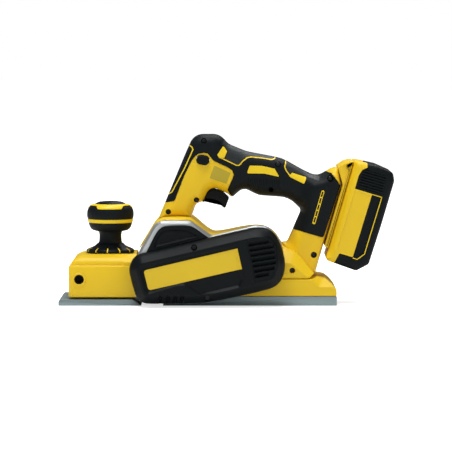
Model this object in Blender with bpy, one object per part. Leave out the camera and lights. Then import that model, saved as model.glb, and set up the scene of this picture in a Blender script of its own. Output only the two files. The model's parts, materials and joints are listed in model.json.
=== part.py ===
"""Cordless hand planer: every piece as its own closed solid, at its real size.

The drawing unit below is the millimetre; MM turns it into Blender's metres.
X runs to the rear (battery end), +Z is up, and -Y is the tool's left side,
the one with the belt cover. The origin is the middle of the rear shoe's sole.
"""
import bpy
import bmesh
from math import atan2, cos, degrees, hypot, pi, radians, sin, tan
from mathutils import Vector

MM = 0.001
GAP = 0.3                                # clearance between pieces that touch

# Shoes
SHOE_LEFT, SHOE_RIGHT = -47.0, 42.0      # side faces of both shoes (Y)
SHOE_FRONT, SHOE_REAR = -204.5, 90.5     # ends of the sole (X)
FRONT_SHOE_THICK = 6.3
REAR_SHOE_THICK = 9.7
MAX_CUT = 2.0                            # how far the front shoe lifts

# Cutter drum and drive
DRUM_X, DRUM_Z = -104.2, 23.5
DRUM_HALF = 41.0                         # half of the 82 mm cutting width
DRUM_RADIUS = 22.0
BLADE_RADIUS = 23.4
CAVITY_RADIUS = 24.9
DRUM_SHAFT_RADIUS = 6.0
SLOT_WIDTH = 7.0                         # blade slots in the drum
SLOT_FLOOR = 13.5
MOTOR_X, MOTOR_Z = 10.0, 49.0
STATOR_RADIUS = 23.0
MOTOR_SHAFT_RADIUS = 4.0
FAN_BLADES = 9
DRUM_PULLEY_RADIUS = 12.8
MOTOR_PULLEY_RADIUS = 8.0                # 1.6 motor turns for each drum turn
BELT_THICK = 2.2
BELT_FACES = (-68.6, -61.6)

# Housings
FRONT_HOUSING_HALF = 44.0
HOUSING_FLOOR = 8.7
HOUSING_TOP = 52.5
FRAME_LEFT, FRAME_RIGHT = -57.0, 47.0
PLATE_INNER = -47.3                      # inner face of the frame's left plate
BODY_LEFT, BODY_RIGHT = -46.8, 44.0
COVER_FACE = -76.0
FLANK_INNER_LEFT, FLANK_INNER_RIGHT = -42.0, 42.0   # where the front housing's flanks lap over the frame
GRIP_HALF = 20.0
FOOT_HALF = 27.0
SKIN = 1.8                               # thickness of the rubber grip skins

# Controls
TRIGGER_PIVOT = (-38.0, 112.0)
LOCK_CENTRE = (-51.5, 153.2)
FENCE_BOLT = (-182.2, 27.5)
KICKSTAND_PIN = (68.0, 14.4)

# Depth knob
KNOB_X = -151.0
TOWER_HALF = 13.0                        # half width of the shoe's square tower
KNOB_SEGMENTS = 40

# Chip outlet
CHUTE_X, CHUTE_Z = -84.0, 67.0
CHUTE_BORE = 15.0
CHUTE_END = 72.0

# Battery: its own frame is tilted, local X points away from the tool
PACK_X, PACK_Z = 80.0, 44.0
PACK_TILT = 16.26
PACK_HALF = 38.0
PACK_DEPTH = (-2.4, 43.6)
PACK_HEIGHT = (1.6, 113.0)

YELLOW = ("yellow_nylon", (0.85, 0.56, 0.02), 0.45, 0.0)
BLACK = ("black_nylon", (0.012, 0.014, 0.015), 0.5, 0.0)
RUBBER = ("black_rubber", (0.016, 0.020, 0.021), 0.75, 0.0)
ALUMINIUM = ("sole_aluminium", (0.36, 0.43, 0.44), 0.4, 1.0)
MAGNESIUM = ("frame_casting", (0.62, 0.64, 0.65), 0.38, 1.0)
STEEL = ("plain_steel", (0.45, 0.46, 0.47), 0.35, 1.0)
BRASS = ("threaded_brass", (0.70, 0.52, 0.24), 0.4, 1.0)
COPPER = ("motor_windings", (0.50, 0.22, 0.09), 0.45, 1.0)
BELT_RUBBER = ("belt_rubber", (0.02, 0.02, 0.02), 0.85, 0.0)


# ---------------------------------------------------------------- helpers

def clear_scene():
    """Remove every object that the scene starts with."""
    for thing in list(bpy.data.objects):
        bpy.data.objects.remove(thing, do_unlink=True)


def material(recipe):
    """Return the Principled material of a (name, colour, roughness, metallic) recipe."""
    name, colour, roughness, metallic = recipe
    found = bpy.data.materials.get(name)
    if found:
        return found
    made = bpy.data.materials.new(name)
    made.use_nodes = True
    shader = made.node_tree.nodes["Principled BSDF"]
    shader.inputs["Base Color"].default_value = (*colour, 1.0)
    shader.inputs["Roughness"].default_value = roughness
    shader.inputs["Metallic"].default_value = metallic
    made.diffuse_color = (*colour, 1.0)
    return made


def pivot(name, x, y, z, tilt=0.0):
    """Add an empty on a joint's axis; the pieces that move with it are its children."""
    empty = bpy.data.objects.new(name, None)
    empty.empty_display_size = 0.01
    empty.location = (x * MM, y * MM, z * MM)
    empty.rotation_euler = (0.0, radians(tilt), 0.0)
    bpy.context.scene.collection.objects.link(empty)
    return empty


def add_object(name, bm, recipe, parent=None, origin=(0.0, 0.0, 0.0), smooth=30.0):
    """Turn a bmesh drawn in millimetres round its own origin into a placed object."""
    bmesh.ops.recalc_face_normals(bm, faces=bm.faces)
    bmesh.ops.scale(bm, vec=(MM, MM, MM), verts=bm.verts)
    mesh = bpy.data.meshes.new(name)
    bm.to_mesh(mesh)
    bm.free()
    thing = bpy.data.objects.new(name, mesh)
    bpy.context.scene.collection.objects.link(thing)
    thing.location = Vector(origin) * MM
    if parent:
        thing.parent = parent
    if recipe:
        mesh.materials.append(material(recipe))
        mesh.shade_smooth()
        mesh.set_sharp_from_angle(angle=radians(smooth))
    return thing


def rounded(points, step=15.0):
    """Return an outline whose corners (x, z, radius) are replaced by arcs."""
    outline = []
    count = len(points)
    for index, (x, z, radius) in enumerate(points):
        corner = Vector((x, z))
        if radius <= 0.0:
            outline.append(corner)
            continue
        before = (Vector(points[index - 1][:2]) - corner)
        after = (Vector(points[(index + 1) % count][:2]) - corner)
        half = before.angle(after) / 2.0
        reach = min(radius / tan(half), 0.48 * before.length, 0.48 * after.length)
        radius = reach * tan(half)
        middle = corner + (before.normalized() + after.normalized()).normalized() * radius / sin(half)
        first = corner + before.normalized() * reach - middle
        sweep = first.angle_signed(corner + after.normalized() * reach - middle)
        parts = max(2, round(abs(degrees(sweep)) / step))
        start = atan2(first.y, first.x)
        for part in range(parts + 1):
            angle = start - sweep * part / parts
            outline.append(middle + radius * Vector((cos(angle), sin(angle))))
    return outline


def plain(points):
    """Return an outline of (x, z) points as vectors."""
    return [Vector(point) for point in points]


def circle(x, z, radius, segments=32):
    """Return a circular outline."""
    angles = [2.0 * pi * index / segments for index in range(segments)]
    return [Vector((x + radius * cos(angle), z + radius * sin(angle))) for angle in angles]


def inset(outline, distance):
    """Return the outline moved inwards by a distance, corner by corner."""
    area = sum(a.x * b.y - b.x * a.y for a, b in zip(outline, outline[1:] + outline[:1]))
    turn = 1.0 if area > 0.0 else -1.0
    moved = []
    for index, point in enumerate(outline):
        before = (point - outline[index - 1]).normalized()
        after = (outline[(index + 1) % len(outline)] - point).normalized()
        normal = Vector((-(before + after).y, (before + after).x)).normalized() * turn
        edge_normal = Vector((-before.y, before.x)) * turn
        moved.append(point + normal * distance / max(0.5, normal.dot(edge_normal)))
    return moved


def loft(sections):
    """Return a closed bmesh through (y, outline) sections with equal point counts."""
    bm = bmesh.new()
    rings = [[bm.verts.new((p.x, y, p.y)) for p in outline] for y, outline in sections]
    for ring, following in zip(rings, rings[1:]):
        for index in range(len(ring)):
            nxt = (index + 1) % len(ring)
            bm.faces.new((ring[index], ring[nxt], following[nxt], following[index]))
    bm.faces.new(rings[0])
    bm.faces.new(rings[-1])
    return bm


def prism(outline, y0, y1):
    """Return an outline extruded along Y."""
    return loft([(y0, outline), (y1, outline)])


def box(x0, x1, y0, y1, z0, z1):
    """Return a box as a bmesh."""
    return prism(plain([(x0, z0), (x1, z0), (x1, z1), (x0, z1)]), y0, y1)


def turned(profile, axis="Z", centre=(0.0, 0.0), segments=32):
    """Spin a closed (radius, height) profile round Z, or round Y at centre (x, z)."""
    bm = bmesh.new()
    rings = []
    for radius, height in profile:
        if radius <= 0.0:
            spots = [(0.0, 0.0)]
        else:
            angles = [2.0 * pi * index / segments for index in range(segments)]
            spots = [(radius * cos(angle), radius * sin(angle)) for angle in angles]
        if axis == "Z":
            ring = [bm.verts.new((centre[0] + a, b, height)) for a, b in spots]
        else:
            ring = [bm.verts.new((centre[0] + a, height, centre[1] + b)) for a, b in spots]
        rings.append(ring)
    pairs = list(zip(rings, rings[1:]))
    if profile[0][0] > 0.0:
        pairs.append((rings[-1], rings[0]))
    for ring, following in pairs:
        for index in range(segments):
            nxt = (index + 1) % segments
            corners = [ring[index % len(ring)], ring[nxt % len(ring)],
                       following[nxt % len(following)], following[index % len(following)]]
            unique = list(dict.fromkeys(corners))
            if len(unique) > 2:
                bm.faces.new(unique)
    return bm


def rod(radius, y0, y1, x=0.0, z=0.0, segments=24):
    """Return a cylinder along Y."""
    return prism(circle(x, z, radius, segments), y0, y1)


def post(radius, z0, z1, x=0.0, segments=24):
    """Return a cylinder along Z on the tool's centre line."""
    return turned([(0.0, z0), (radius, z0), (radius, z1), (0.0, z1)], "Z", (x, 0.0), segments)


def sleeve(inner, outer, y0, y1, x=0.0, z=0.0, segments=32):
    """Return a ring with its axis along Y."""
    profile = [(inner, y0), (outer, y0), (outer, y1), (inner, y1)]
    return turned(profile, "Y", (x, z), segments)


def combine(target, bm, operation):
    """Cut a shape out of the target, or weld one on, with a Boolean modifier."""
    index = len(target.modifiers)
    tool = add_object(f"{target.name}_tool_{index}", bm, None, target.parent)
    tool.hide_render = True
    tool.display_type = "WIRE"
    modifier = target.modifiers.new(f"{operation.lower()}_{index}", "BOOLEAN")
    modifier.operation = operation
    modifier.solver = "EXACT"
    modifier.object = tool
    return target


def cut(target, *shapes):
    """Remove each shape from the target."""
    for shape in shapes:
        combine(target, shape, "DIFFERENCE")


def weld(target, *shapes):
    """Join each shape to the target."""
    for shape in shapes:
        combine(target, shape, "UNION")


# ---------------------------------------------------------------- shoes

def build_rear_shoe():
    """The fixed sole plate, with its slanted lip at the cutter's mouth."""
    outline = plain([(-94.0, 0.0), (SHOE_REAR, 0.0), (SHOE_REAR, REAR_SHOE_THICK), (-82.0, REAR_SHOE_THICK)])
    shoe = add_object("rear_shoe", prism(outline, SHOE_LEFT, SHOE_RIGHT), ALUMINIUM)
    cut(shoe, box(64.0, SHOE_REAR + 5.0, -40.0, -29.0, -1.0, 12.0))


def build_front_shoe(slide):
    """The sole plate that sets the depth, with the tower its screw turns in."""
    outline = plain([(SHOE_FRONT, 0.0), (-116.0, 0.0), (-126.0, FRONT_SHOE_THICK),
                     (-202.5, FRONT_SHOE_THICK), (SHOE_FRONT, 4.4)])
    plate = prism([point - Vector((KNOB_X, 0.0)) for point in outline], SHOE_LEFT, SHOE_RIGHT)
    shoe = add_object("front_shoe", plate, ALUMINIUM, slide)
    weld(shoe, box(-TOWER_HALF, TOWER_HALF, -TOWER_HALF, TOWER_HALF, 3.0, 35.0))
    cut(shoe, post(5.2, 9.0, 36.0))
    groove = bmesh.new()
    near, far = SHOE_FRONT - KNOB_X - 1.0, -116.0 - KNOB_X + 1.0
    section = ((-2.6, -0.6), (2.6, -0.6), (0.0, 2.0))
    ends = [[groove.verts.new((x, y, z)) for y, z in section] for x in (near, far)]
    for index in range(3):
        nxt = (index + 1) % 3
        groove.faces.new((ends[0][index], ends[0][nxt], ends[1][nxt], ends[1][index]))
    groove.faces.new(ends[0])
    groove.faces.new(ends[1])
    cut(shoe, groove)


def build_kickstand(hinge):
    """The park foot at the rear, folded into its slot, and its pin."""
    arm = plain([(-3.6, -3.4), (3.0, -5.4), (19.5, -12.6), (22.0, -12.6), (22.0, -8.0),
                 (16.0, -5.6), (4.0, 3.2), (-1.5, 3.8), (-3.8, 1.0)])
    foot = add_object("kickstand", prism(arm, -3.9, 3.9), BLACK, hinge)
    cut(foot, rod(1.9, -6.0, 6.0, 0.0, 0.0, 16))
    add_object("kickstand_pin", rod(1.5, -42.0, -27.0, *KICKSTAND_PIN, 16), STEEL)


# ---------------------------------------------------------------- casings

def build_front_housing():
    """The yellow housing over the front shoe, open below, with its guide sleeve."""
    outline = rounded([(-194.0, HOUSING_FLOOR, 2.5), (-194.0, 41.5, 0.8), (-191.3, 44.6, 0.8),
                       (-187.5, 50.5, 6.0), (-178.0, HOUSING_TOP, 6.0), (-121.5, HOUSING_TOP, 0.0),
                       (-121.5, 50.6, 0.0), (-133.1, 42.5, 0.0), (-133.1, HOUSING_FLOOR, 0.0)])
    low, high = -FRONT_HOUSING_HALF, FRONT_HOUSING_HALF
    rim = inset(outline, 0.8)
    sections = [(low, rim), (low + 0.8, outline), (high - 0.8, outline), (high, rim)]
    housing = add_object("front_housing", loft(sections), YELLOW)
    cut(housing, box(-185.0, -137.0, low + 3.0, high - 3.0, 0.0, HOUSING_TOP - 3.5))
    outer, inner = TOWER_HALF + 4.0, TOWER_HALF + 0.4
    weld(housing, box(KNOB_X - outer, -134.0, -outer, outer, 14.0, 50.5))
    weld(housing, box(-136.0, -122.8, low, FLANK_INNER_LEFT - GAP, HOUSING_FLOOR, 51.0))
    weld(housing, box(-136.0, -122.8, FLANK_INNER_RIGHT + GAP, high, HOUSING_FLOOR, 51.0))
    cut(housing, box(KNOB_X - inner, KNOB_X + inner, -inner, inner, 0.0, 41.0))
    cut(housing, post(5.4, 30.0, 60.0, KNOB_X))
    for side in (-1.0, 1.0):
        faces = sorted((side * (high - 1.0), side * (high - 13.0)))
        weld(housing, rod(8.0, faces[0], faces[1], *FENCE_BOLT))
        bore = sorted((side * (high + 1.0), side * (high - 14.0)))
        cut(housing, rod(5.5, bore[0], bore[1], *FENCE_BOLT))
        name = "fence_insert_left" if side < 0.0 else "fence_insert_right"
        insert = sorted((side * (high - 2.0), side * (high - 13.0)))
        add_object(name, sleeve(3.3, 5.2, insert[0], insert[1], *FENCE_BOLT, 24), BRASS)


def hood_outline():
    """The casting's own outline between its side plates: drum guard and chip chamber."""
    return plain([(-132.6, 10.2), (-132.6, 41.0), (-121.0, 49.6), (-117.0, 57.2), (-106.4, 75.0),
                  (-101.0, 82.0), (-96.8, 86.3), (-92.0, 88.4), (-66.8, 88.6), (-61.5, 86.2),
                  (-44.9, 75.0), (-44.9, 36.0), (-69.0, 21.0), (-78.0, 10.2)])


def build_main_frame():
    """The casting that carries the drum, the motor's front bearing and the chip outlet."""
    frame = add_object("main_frame", prism(hood_outline(), -52.0, FRAME_RIGHT), MAGNESIUM)
    plate = rounded([(-118.5, 58.6, 2.0), (-100.4, 90.5, 14.0), (-63.6, 90.5, 10.0),
                     (-41.8, 74.6, 6.0), (4.0, 85.6, 14.0), (17.0, 84.6, 9.0), (32.4, 68.0, 12.0),
                     (31.4, 33.0, 16.0), (14.0, 19.5, 8.0), (-46.0, 8.0, 10.0), (-60.0, 6.4, 4.0),
                     (-113.0, 6.4, 9.0), (-126.4, 38.0, 10.0)])
    weld(frame, loft([(FRAME_LEFT, inset(plate, 2.6)), (FRAME_LEFT + 3.6, plate), (PLATE_INNER, plate)]))
    cut(frame, rod(CAVITY_RADIUS, -DRUM_HALF - GAP, DRUM_HALF + GAP, DRUM_X, DRUM_Z, 40))
    cut(frame, box(DRUM_X - CAVITY_RADIUS + 0.4, DRUM_X + CAVITY_RADIUS - 0.4,
                   -DRUM_HALF - GAP, DRUM_HALF + GAP, 0.0, DRUM_Z))
    chamber = plain([(-116.0, 44.0), (-112.6, 56.0), (-104.0, 71.0), (-98.0, 80.0), (-92.0, 84.5),
                     (-68.0, 84.5), (-60.0, 76.0), (-66.0, 52.0), (-92.0, 43.0)])
    cut(frame, prism(chamber, -DRUM_HALF + 1.0, DRUM_HALF - 1.0))
    cut(frame, rod(CHUTE_BORE, 30.0, FRAME_RIGHT + 2.0, CHUTE_X, CHUTE_Z, 32))
    cut(frame, rod(11.1, FRAME_LEFT - 2.0, -38.0, DRUM_X, DRUM_Z, 24))
    cut(frame, rod(11.1, 38.0, FRAME_RIGHT + 2.0, DRUM_X, DRUM_Z, 24))
    cut(frame, rod(9.9, FRAME_LEFT - 2.0, PLATE_INNER + 2.0, MOTOR_X, MOTOR_Z, 24))
    cut(frame, box(-140.0, -122.4, FRAME_LEFT + 5.0, FLANK_INNER_LEFT, 5.0, 52.8))
    cut(frame, box(-140.0, -122.4, FLANK_INNER_RIGHT, FRAME_RIGHT + 2.0, 5.0, 52.8))
    add_object("drum_end_cap", turned([(0.0, 47.3), (15.0, 47.3), (15.0, 49.0), (12.5, 50.5), (0.0, 50.5)],
                                      "Y", (DRUM_X, DRUM_Z), 32), BLACK)


def build_chip_outlet():
    """The chute on the right and the blanking panel on the left."""
    profile = [(CHUTE_BORE, FRAME_RIGHT + GAP), (19.5, FRAME_RIGHT + GAP), (19.5, 50.0), (17.6, 50.5),
               (17.0, CHUTE_END), (CHUTE_BORE, CHUTE_END)]
    add_object("chip_chute", turned(profile, "Y", (CHUTE_X, CHUTE_Z), 36), BLACK)
    panel = rounded([(-110.6, 58.6, 2.0), (-101.0, 78.5, 9.0), (-93.5, 85.8, 6.0), (-64.0, 86.2, 7.0),
                     (-46.6, 73.6, 1.0)])
    sections = [(-59.8, inset(panel, 0.8)), (-59.0, panel), (FRAME_LEFT - GAP, panel)]
    cap = add_object("chip_port_cap", loft(sections), BLACK)
    recess = rounded([(-103.4, 62.6, 1.0), (-97.5, 78.0, 6.0), (-91.0, 81.4, 4.0), (-65.5, 81.2, 4.0),
                      (-56.6, 74.0, 1.0)])
    cut(cap, prism(recess, -61.0, -58.6))


def cover_outline():
    """The belt cover's outer edge: a long rounded box tilted up to the rear."""
    return rounded([(-129.6, 39.0, 16.0), (-122.5, 4.4, 15.0), (-106.0, 3.2, 20.0), (-44.0, 4.6, 60.0),
                    (26.0, 21.4, 18.0), (36.4, 43.0, 26.0), (26.0, 83.6, 22.0), (4.0, 84.4, 14.0),
                    (-119.0, 55.4, 10.0)], 12.0)


def build_belt_cover():
    """The black cover over the belt, with the motor's air intake cut in its rear end."""
    edge = cover_outline()
    sections = [(COVER_FACE, inset(edge, 6.0)), (-74.4, inset(edge, 4.6)), (-66.0, inset(edge, 0.8)),
                (-64.0, edge), (FRAME_LEFT - GAP, edge)]
    cover = add_object("belt_cover", loft(sections), BLACK)
    floor = inset(edge, 3.2)
    cut(cover, loft([(-73.0, inset(edge, 6.6)), (-67.0, floor), (FRAME_LEFT + 2.0, floor)]))
    slant = tan(radians(12.0))
    for index in range(6):
        z = 32.0 + 6.3 * index
        x0, x1 = -1.0 - 0.6 * index + 2.0, 22.5
        slot = plain([(x0, z - 1.4), (x1, z - 1.4 + (x1 - x0) * slant * 0.5),
                      (x1, z + 1.6 + (x1 - x0) * slant * 0.5), (x0, z + 1.6)])
        cut(cover, prism(slot, COVER_FACE - 2.0, -70.0))
    places = {"cover_screw_upper": (-60.3, 63.4), "cover_screw_lower": (-46.5, 10.2)}
    for name, (x, z) in places.items():
        weld(cover, rod(5.0, -72.0, FRAME_LEFT - GAP, x, z, 20))
        cut(cover, rod(3.3, -80.0, -63.0, x, z, 20))
        add_object(name, screw_shape(2.9, -67.0, -63.4, x, z), STEEL)


def screw_shape(radius, y_head, y_end, x, z):
    """Return a domed screw head along Y with a hexagon socket."""
    direction = 1.0 if y_end > y_head else -1.0
    profile = [(0.0, y_end), (radius, y_end), (radius, y_head + 0.8 * direction),
               (radius * 0.72, y_head), (radius * 0.45, y_head),
               (radius * 0.45, y_head + 1.4 * direction), (0.0, y_head + 1.4 * direction)]
    return turned(profile, "Y", (x, z), 18)


def build_rear_base():
    """The yellow housing on the rear shoe, hollow below."""
    outline = rounded([(-64.0, 10.1, 0.0), (90.4, 10.1, 1.0), (90.4, 16.3, 3.0), (84.6, 23.4, 4.0),
                       (79.0, 28.0, 3.0), (70.6, 29.2, 2.0), (61.4, 27.9, 0.0), (33.4, 27.9, 2.0),
                       (31.6, 20.6, 0.0), (-64.0, 20.6, 2.0)])
    base = add_object("rear_base_housing", prism(outline, BODY_LEFT, BODY_RIGHT), YELLOW)
    cut(base, box(-60.0, 54.0, -38.0, 38.0, 5.0, 17.0))
    cut(base, box(62.0, 95.0, -39.6, -29.4, 5.0, 22.0))
    cut(base, rod(1.8, -42.4, -26.0, *KICKSTAND_PIN, 16))


# ---------------------------------------------------------------- handle

def handle_outline():
    """The arch of column, grip and rear foot, seen from the side."""
    return rounded([
        (-99.0, 91.0, 0.0), (-92.0, 107.0, 30.0), (-71.0, 157.5, 60.0), (-59.5, 180.4, 20.0),
        (-33.0, 180.0, 14.0), (-24.0, 170.0, 14.0), (-5.0, 161.5, 40.0), (33.0, 154.8, 40.0),
        (56.0, 141.6, 40.0), (70.5, 135.0, 16.0), (84.0, 143.4, 8.0), (93.0, 146.8, 4.0),
        (96.6, 127.0, 14.0), (76.8, 60.0, 10.0), (69.4, 33.6, 0.0), (61.4, 28.3, 0.0),
        (33.4, 28.3, 0.0), (33.4, 64.9, 0.0), (38.5, 65.0, 6.0), (44.4, 78.0, 20.0),
        (53.6, 99.4, 5.0), (40.0, 112.4, 30.0), (8.0, 114.6, 20.0), (-8.5, 122.8, 9.0),
        (-20.6, 112.0, 3.0), (-25.6, 116.6, 4.0), (-43.0, 124.6, 8.0), (-51.4, 108.0, 4.0),
        (-58.6, 105.8, 6.0), (-64.5, 91.0, 0.0)])


def body_outline():
    """The lower casing: a saddle over the frame's hood, then the motor's housing."""
    return plain([
        (-119.6, 58.6), (-111.2, 72.4), (-104.4, 84.2), (-101.1, 88.9), (-97.0, 92.9), (-91.5, 95.0),
        (-65.0, 95.0), (-59.9, 91.0), (-41.6, 78.0), (-12.1, 83.8), (4.8, 86.0), (15.0, 85.2),
        (23.0, 80.5), (30.0, 72.0), (35.0, 61.0), (44.1, 54.1), (50.1, 49.7), (65.9, 34.2),
        (60.8, 28.3), (31.0, 28.3), (31.0, 21.0), (-44.5, 21.0), (-44.5, 75.0), (-61.3, 86.7),
        (-66.6, 89.1), (-92.2, 88.9), (-97.3, 86.8), (-101.6, 82.6), (-107.2, 75.2)])


def foot_outline():
    """The thicker rear foot that carries the battery."""
    return rounded([(46.0, 78.6, 3.0), (58.0, 101.0, 8.0), (72.0, 134.0, 8.0), (84.0, 142.4, 6.0),
                    (92.2, 145.8, 4.0), (96.0, 127.0, 14.0), (76.4, 60.0, 10.0), (69.0, 34.4, 0.0),
                    (62.0, 34.4, 0.0), (52.0, 46.0, 0.0), (46.0, 60.0, 6.0)])


HANDLE_SCREWS = ((-50.5, 173.6), (-58.4, 110.4), (-88.4, 97.8), (28.5, 148.6), (84.1, 133.6), (66.6, 52.4))


def build_handle_shell(side):
    """One half of the casing; side is -1 for the left half and +1 for the right."""
    name = "handle_shell_left" if side < 0.0 else "handle_shell_right"
    wall = BODY_LEFT if side < 0.0 else BODY_RIGHT

    def slab(outline, outer, chamfer):
        trimmed = inset(outline, chamfer)
        return loft([(-side * 2.0, outline), (outer - side * chamfer, outline), (outer, trimmed)])

    shell = add_object(name, slab(handle_outline(), side * GRIP_HALF, 1.8), YELLOW)
    weld(shell, slab(foot_outline(), side * FOOT_HALF, 2.0))
    weld(shell, slab(body_outline(), wall, 0.6))
    cut(shell, box(-130.0, 110.0, *sorted((-side * 6.0, side * 0.15)), 10.0, 190.0))
    motor = sorted((-side * 3.0, -42.4 if side < 0.0 else 34.0))
    cut(shell, rod(STATOR_RADIUS + 0.8, motor[0], motor[1], MOTOR_X, MOTOR_Z, 36))
    if side < 0.0:
        cut(shell, rod(6.0, -50.0, -40.0, MOTOR_X, MOTOR_Z, 24))
    else:
        cut(shell, rod(9.6, 30.0, 41.0, MOTOR_X, MOTOR_Z, 24))
        for index in range(5):
            z = MOTOR_Z - 14.0 + 7.0 * index
            cut(shell, box(MOTOR_X + 13.0, MOTOR_X + 19.0, 30.0, 48.0, z - 1.4, z + 1.4))
            cut(shell, box(MOTOR_X - 19.0, MOTOR_X - 13.0, 30.0, 48.0, z - 1.4, z + 1.4))
    hollow = sorted((-side * 3.0, side * 16.0))
    cut(shell, prism(plain([(-48.0, 126.0), (-16.0, 126.0), (-16.0, 145.0), (-48.0, 145.0)]), *hollow))
    cut(shell, prism(trigger_well(), *sorted((-side * 3.0, side * 10.0))))
    cut(shell, prism(lock_outline(0.4), *sorted((-side * 3.0, side * 30.0))))
    cut(shell, box(60.0, 77.0, *sorted((-side * 3.0, side * 19.0)), 84.0, 118.0))
    for x, z in HANDLE_SCREWS:
        face = FOOT_HALF if x > 60.0 else GRIP_HALF
        cut(shell, rod(2.9, *sorted((side * (face - 12.0), side * (face + 6.0))), x, z, 16))
    return shell


def build_handle_screws():
    """The housing screws, driven in from the left and seated deep in their bores."""
    for index, (x, z) in enumerate(HANDLE_SCREWS, start=1):
        face = -(FOOT_HALF if x > 60.0 else GRIP_HALF)
        add_object(f"handle_screw_{index}", screw_shape(2.5, face + 3.0, face + 11.0, x, z), STEEL)


def build_grip_skins(side):
    """The rubber grip skin and the foot pad on one side."""
    suffix = "left" if side < 0.0 else "right"
    skin = rounded([(-92.0, 110.5, 2.0), (-70.5, 157.5, 40.0), (-58.5, 176.4, 16.0), (-34.0, 176.6, 12.0),
                    (-25.0, 168.0, 12.0), (-5.0, 158.4, 30.0), (32.0, 151.4, 30.0), (55.0, 138.4, 30.0),
                    (68.0, 131.0, 6.0), (60.0, 112.0, 8.0), (51.6, 103.4, 5.0), (40.0, 115.4, 24.0),
                    (9.0, 118.0, 16.0), (-8.5, 125.6, 7.0), (-19.0, 117.6, 4.0), (-25.0, 121.4, 3.0),
                    (-18.6, 138.0, 3.0), (-21.0, 144.0, 4.0), (-41.0, 153.0, 2.0), (-46.0, 161.0, 5.0),
                    (-59.0, 160.0, 6.0), (-72.0, 137.0, 10.0), (-82.0, 110.5, 2.0)])
    inner = side * (GRIP_HALF + GAP)
    outer = side * (GRIP_HALF + GAP + SKIN)
    grip = add_object(f"grip_skin_{suffix}", loft([(inner, skin), (outer, inset(skin, 0.7))]), RUBBER)
    for x, z in ((-50.5, 173.6), (28.5, 148.6)):
        cut(grip, rod(3.2, *sorted((side * 15.0, side * 30.0)), x, z, 16))
    pad = rounded([(49.5, 80.4, 1.5), (61.0, 104.0, 8.0), (74.0, 133.4, 8.0), (84.0, 139.4, 6.0),
                   (91.5, 131.0, 6.0), (94.2, 125.4, 3.0), (78.0, 72.4, 2.0), (60.0, 77.4, 6.0)])
    inner = side * (FOOT_HALF + GAP)
    outer = side * (FOOT_HALF + GAP + SKIN)
    foot = add_object(f"foot_pad_{suffix}", loft([(inner, pad), (outer, inset(pad, 0.7))]), RUBBER)
    cut(foot, rod(3.4, *sorted((side * 20.0, side * 40.0)), 84.1, 133.6, 16))


def trigger_outline():
    """The finger lever, with its concave front."""
    return rounded([(-52.2, 107.4, 1.0), (-47.6, 117.6, 5.0), (-42.0, 122.4, 4.0), (-31.0, 119.2, 6.0),
                    (-24.6, 113.4, 2.0), (-27.8, 101.2, 1.5), (-36.0, 107.6, 7.0), (-45.0, 109.4, 6.0)])


def trigger_well():
    """The pocket that the trigger sinks into along its slide."""
    return plain([(-55.0, 101.0), (-53.2, 107.6), (-48.4, 118.4), (-43.6, 128.6), (-36.0, 129.8),
                  (-26.0, 126.4), (-20.8, 119.4), (-23.6, 112.0), (-24.0, 98.0)])


def lock_outline(extra=0.0):
    """The lock-off button's oval."""
    half_x, half_z = 6.6 + extra, 4.7 + extra
    tilt = radians(-10.0)
    oval = []
    for point in rounded([(-half_x, -half_z, half_z * 0.98), (half_x, -half_z, half_z * 0.98),
                          (half_x, half_z, half_z * 0.98), (-half_x, half_z, half_z * 0.98)], 20.0):
        turned_x = point.x * cos(tilt) - point.y * sin(tilt)
        turned_z = point.x * sin(tilt) + point.y * cos(tilt)
        oval.append(Vector((turned_x, turned_z)) + Vector(LOCK_CENTRE))
    return oval


def build_controls(trigger_pivot, lock_pivot):
    """Trigger, lock-off button and the switch they work."""
    outline = [point - Vector(TRIGGER_PIVOT) for point in trigger_outline()]
    rim = inset(outline, 1.0)
    lever = loft([(-9.0, rim), (-8.0, outline), (8.0, outline), (9.0, rim)])
    add_object("trigger", lever, BLACK, trigger_pivot)
    oval = [point - Vector(LOCK_CENTRE) for point in lock_outline()]
    button = loft([(-23.4, inset(oval, 1.2)), (-22.2, oval), (22.2, oval), (23.4, inset(oval, 1.2))])
    add_object("lock_button", button, BLACK, lock_pivot)
    switch = add_object("switch_module", box(-47.0, -17.0, -12.5, 12.5, 131.0, 144.2), BLACK)
    weld(switch, box(-40.0, -30.0, -6.0, 6.0, 129.6, 132.0))
    add_object("control_module", box(61.0, 76.0, -17.0, 17.0, 86.0, 117.0), BLACK)


# ---------------------------------------------------------------- drive

def drum_profile():
    """The drum's section: a circle with a blade slot at the front and one at the rear."""
    half = SLOT_WIDTH / 2.0
    edge = (DRUM_RADIUS ** 2 - half ** 2) ** 0.5
    start = atan2(half, edge)
    steps = 14
    points = []
    for turn in (0.0, pi):
        for x, z in ((edge, -half), (SLOT_FLOOR, -half), (SLOT_FLOOR, half), (edge, half)):
            points.append(Vector((x * cos(turn) - z * sin(turn), x * sin(turn) + z * cos(turn))))
        for index in range(1, steps):
            angle = turn + start + (pi - 2.0 * start) * index / steps
            points.append(DRUM_RADIUS * Vector((cos(angle), sin(angle))))
    return points


def slot_piece(lean, x0, x1, z0, z1, half):
    """Return a bar lying in one of the drum's slots; lean is +1 or -1 for the side it is on."""
    xs = sorted((x0 * lean, x1 * lean))
    zs = sorted((z0 * lean, z1 * lean))
    return box(xs[0], xs[1], -half, half, zs[0], zs[1])


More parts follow.
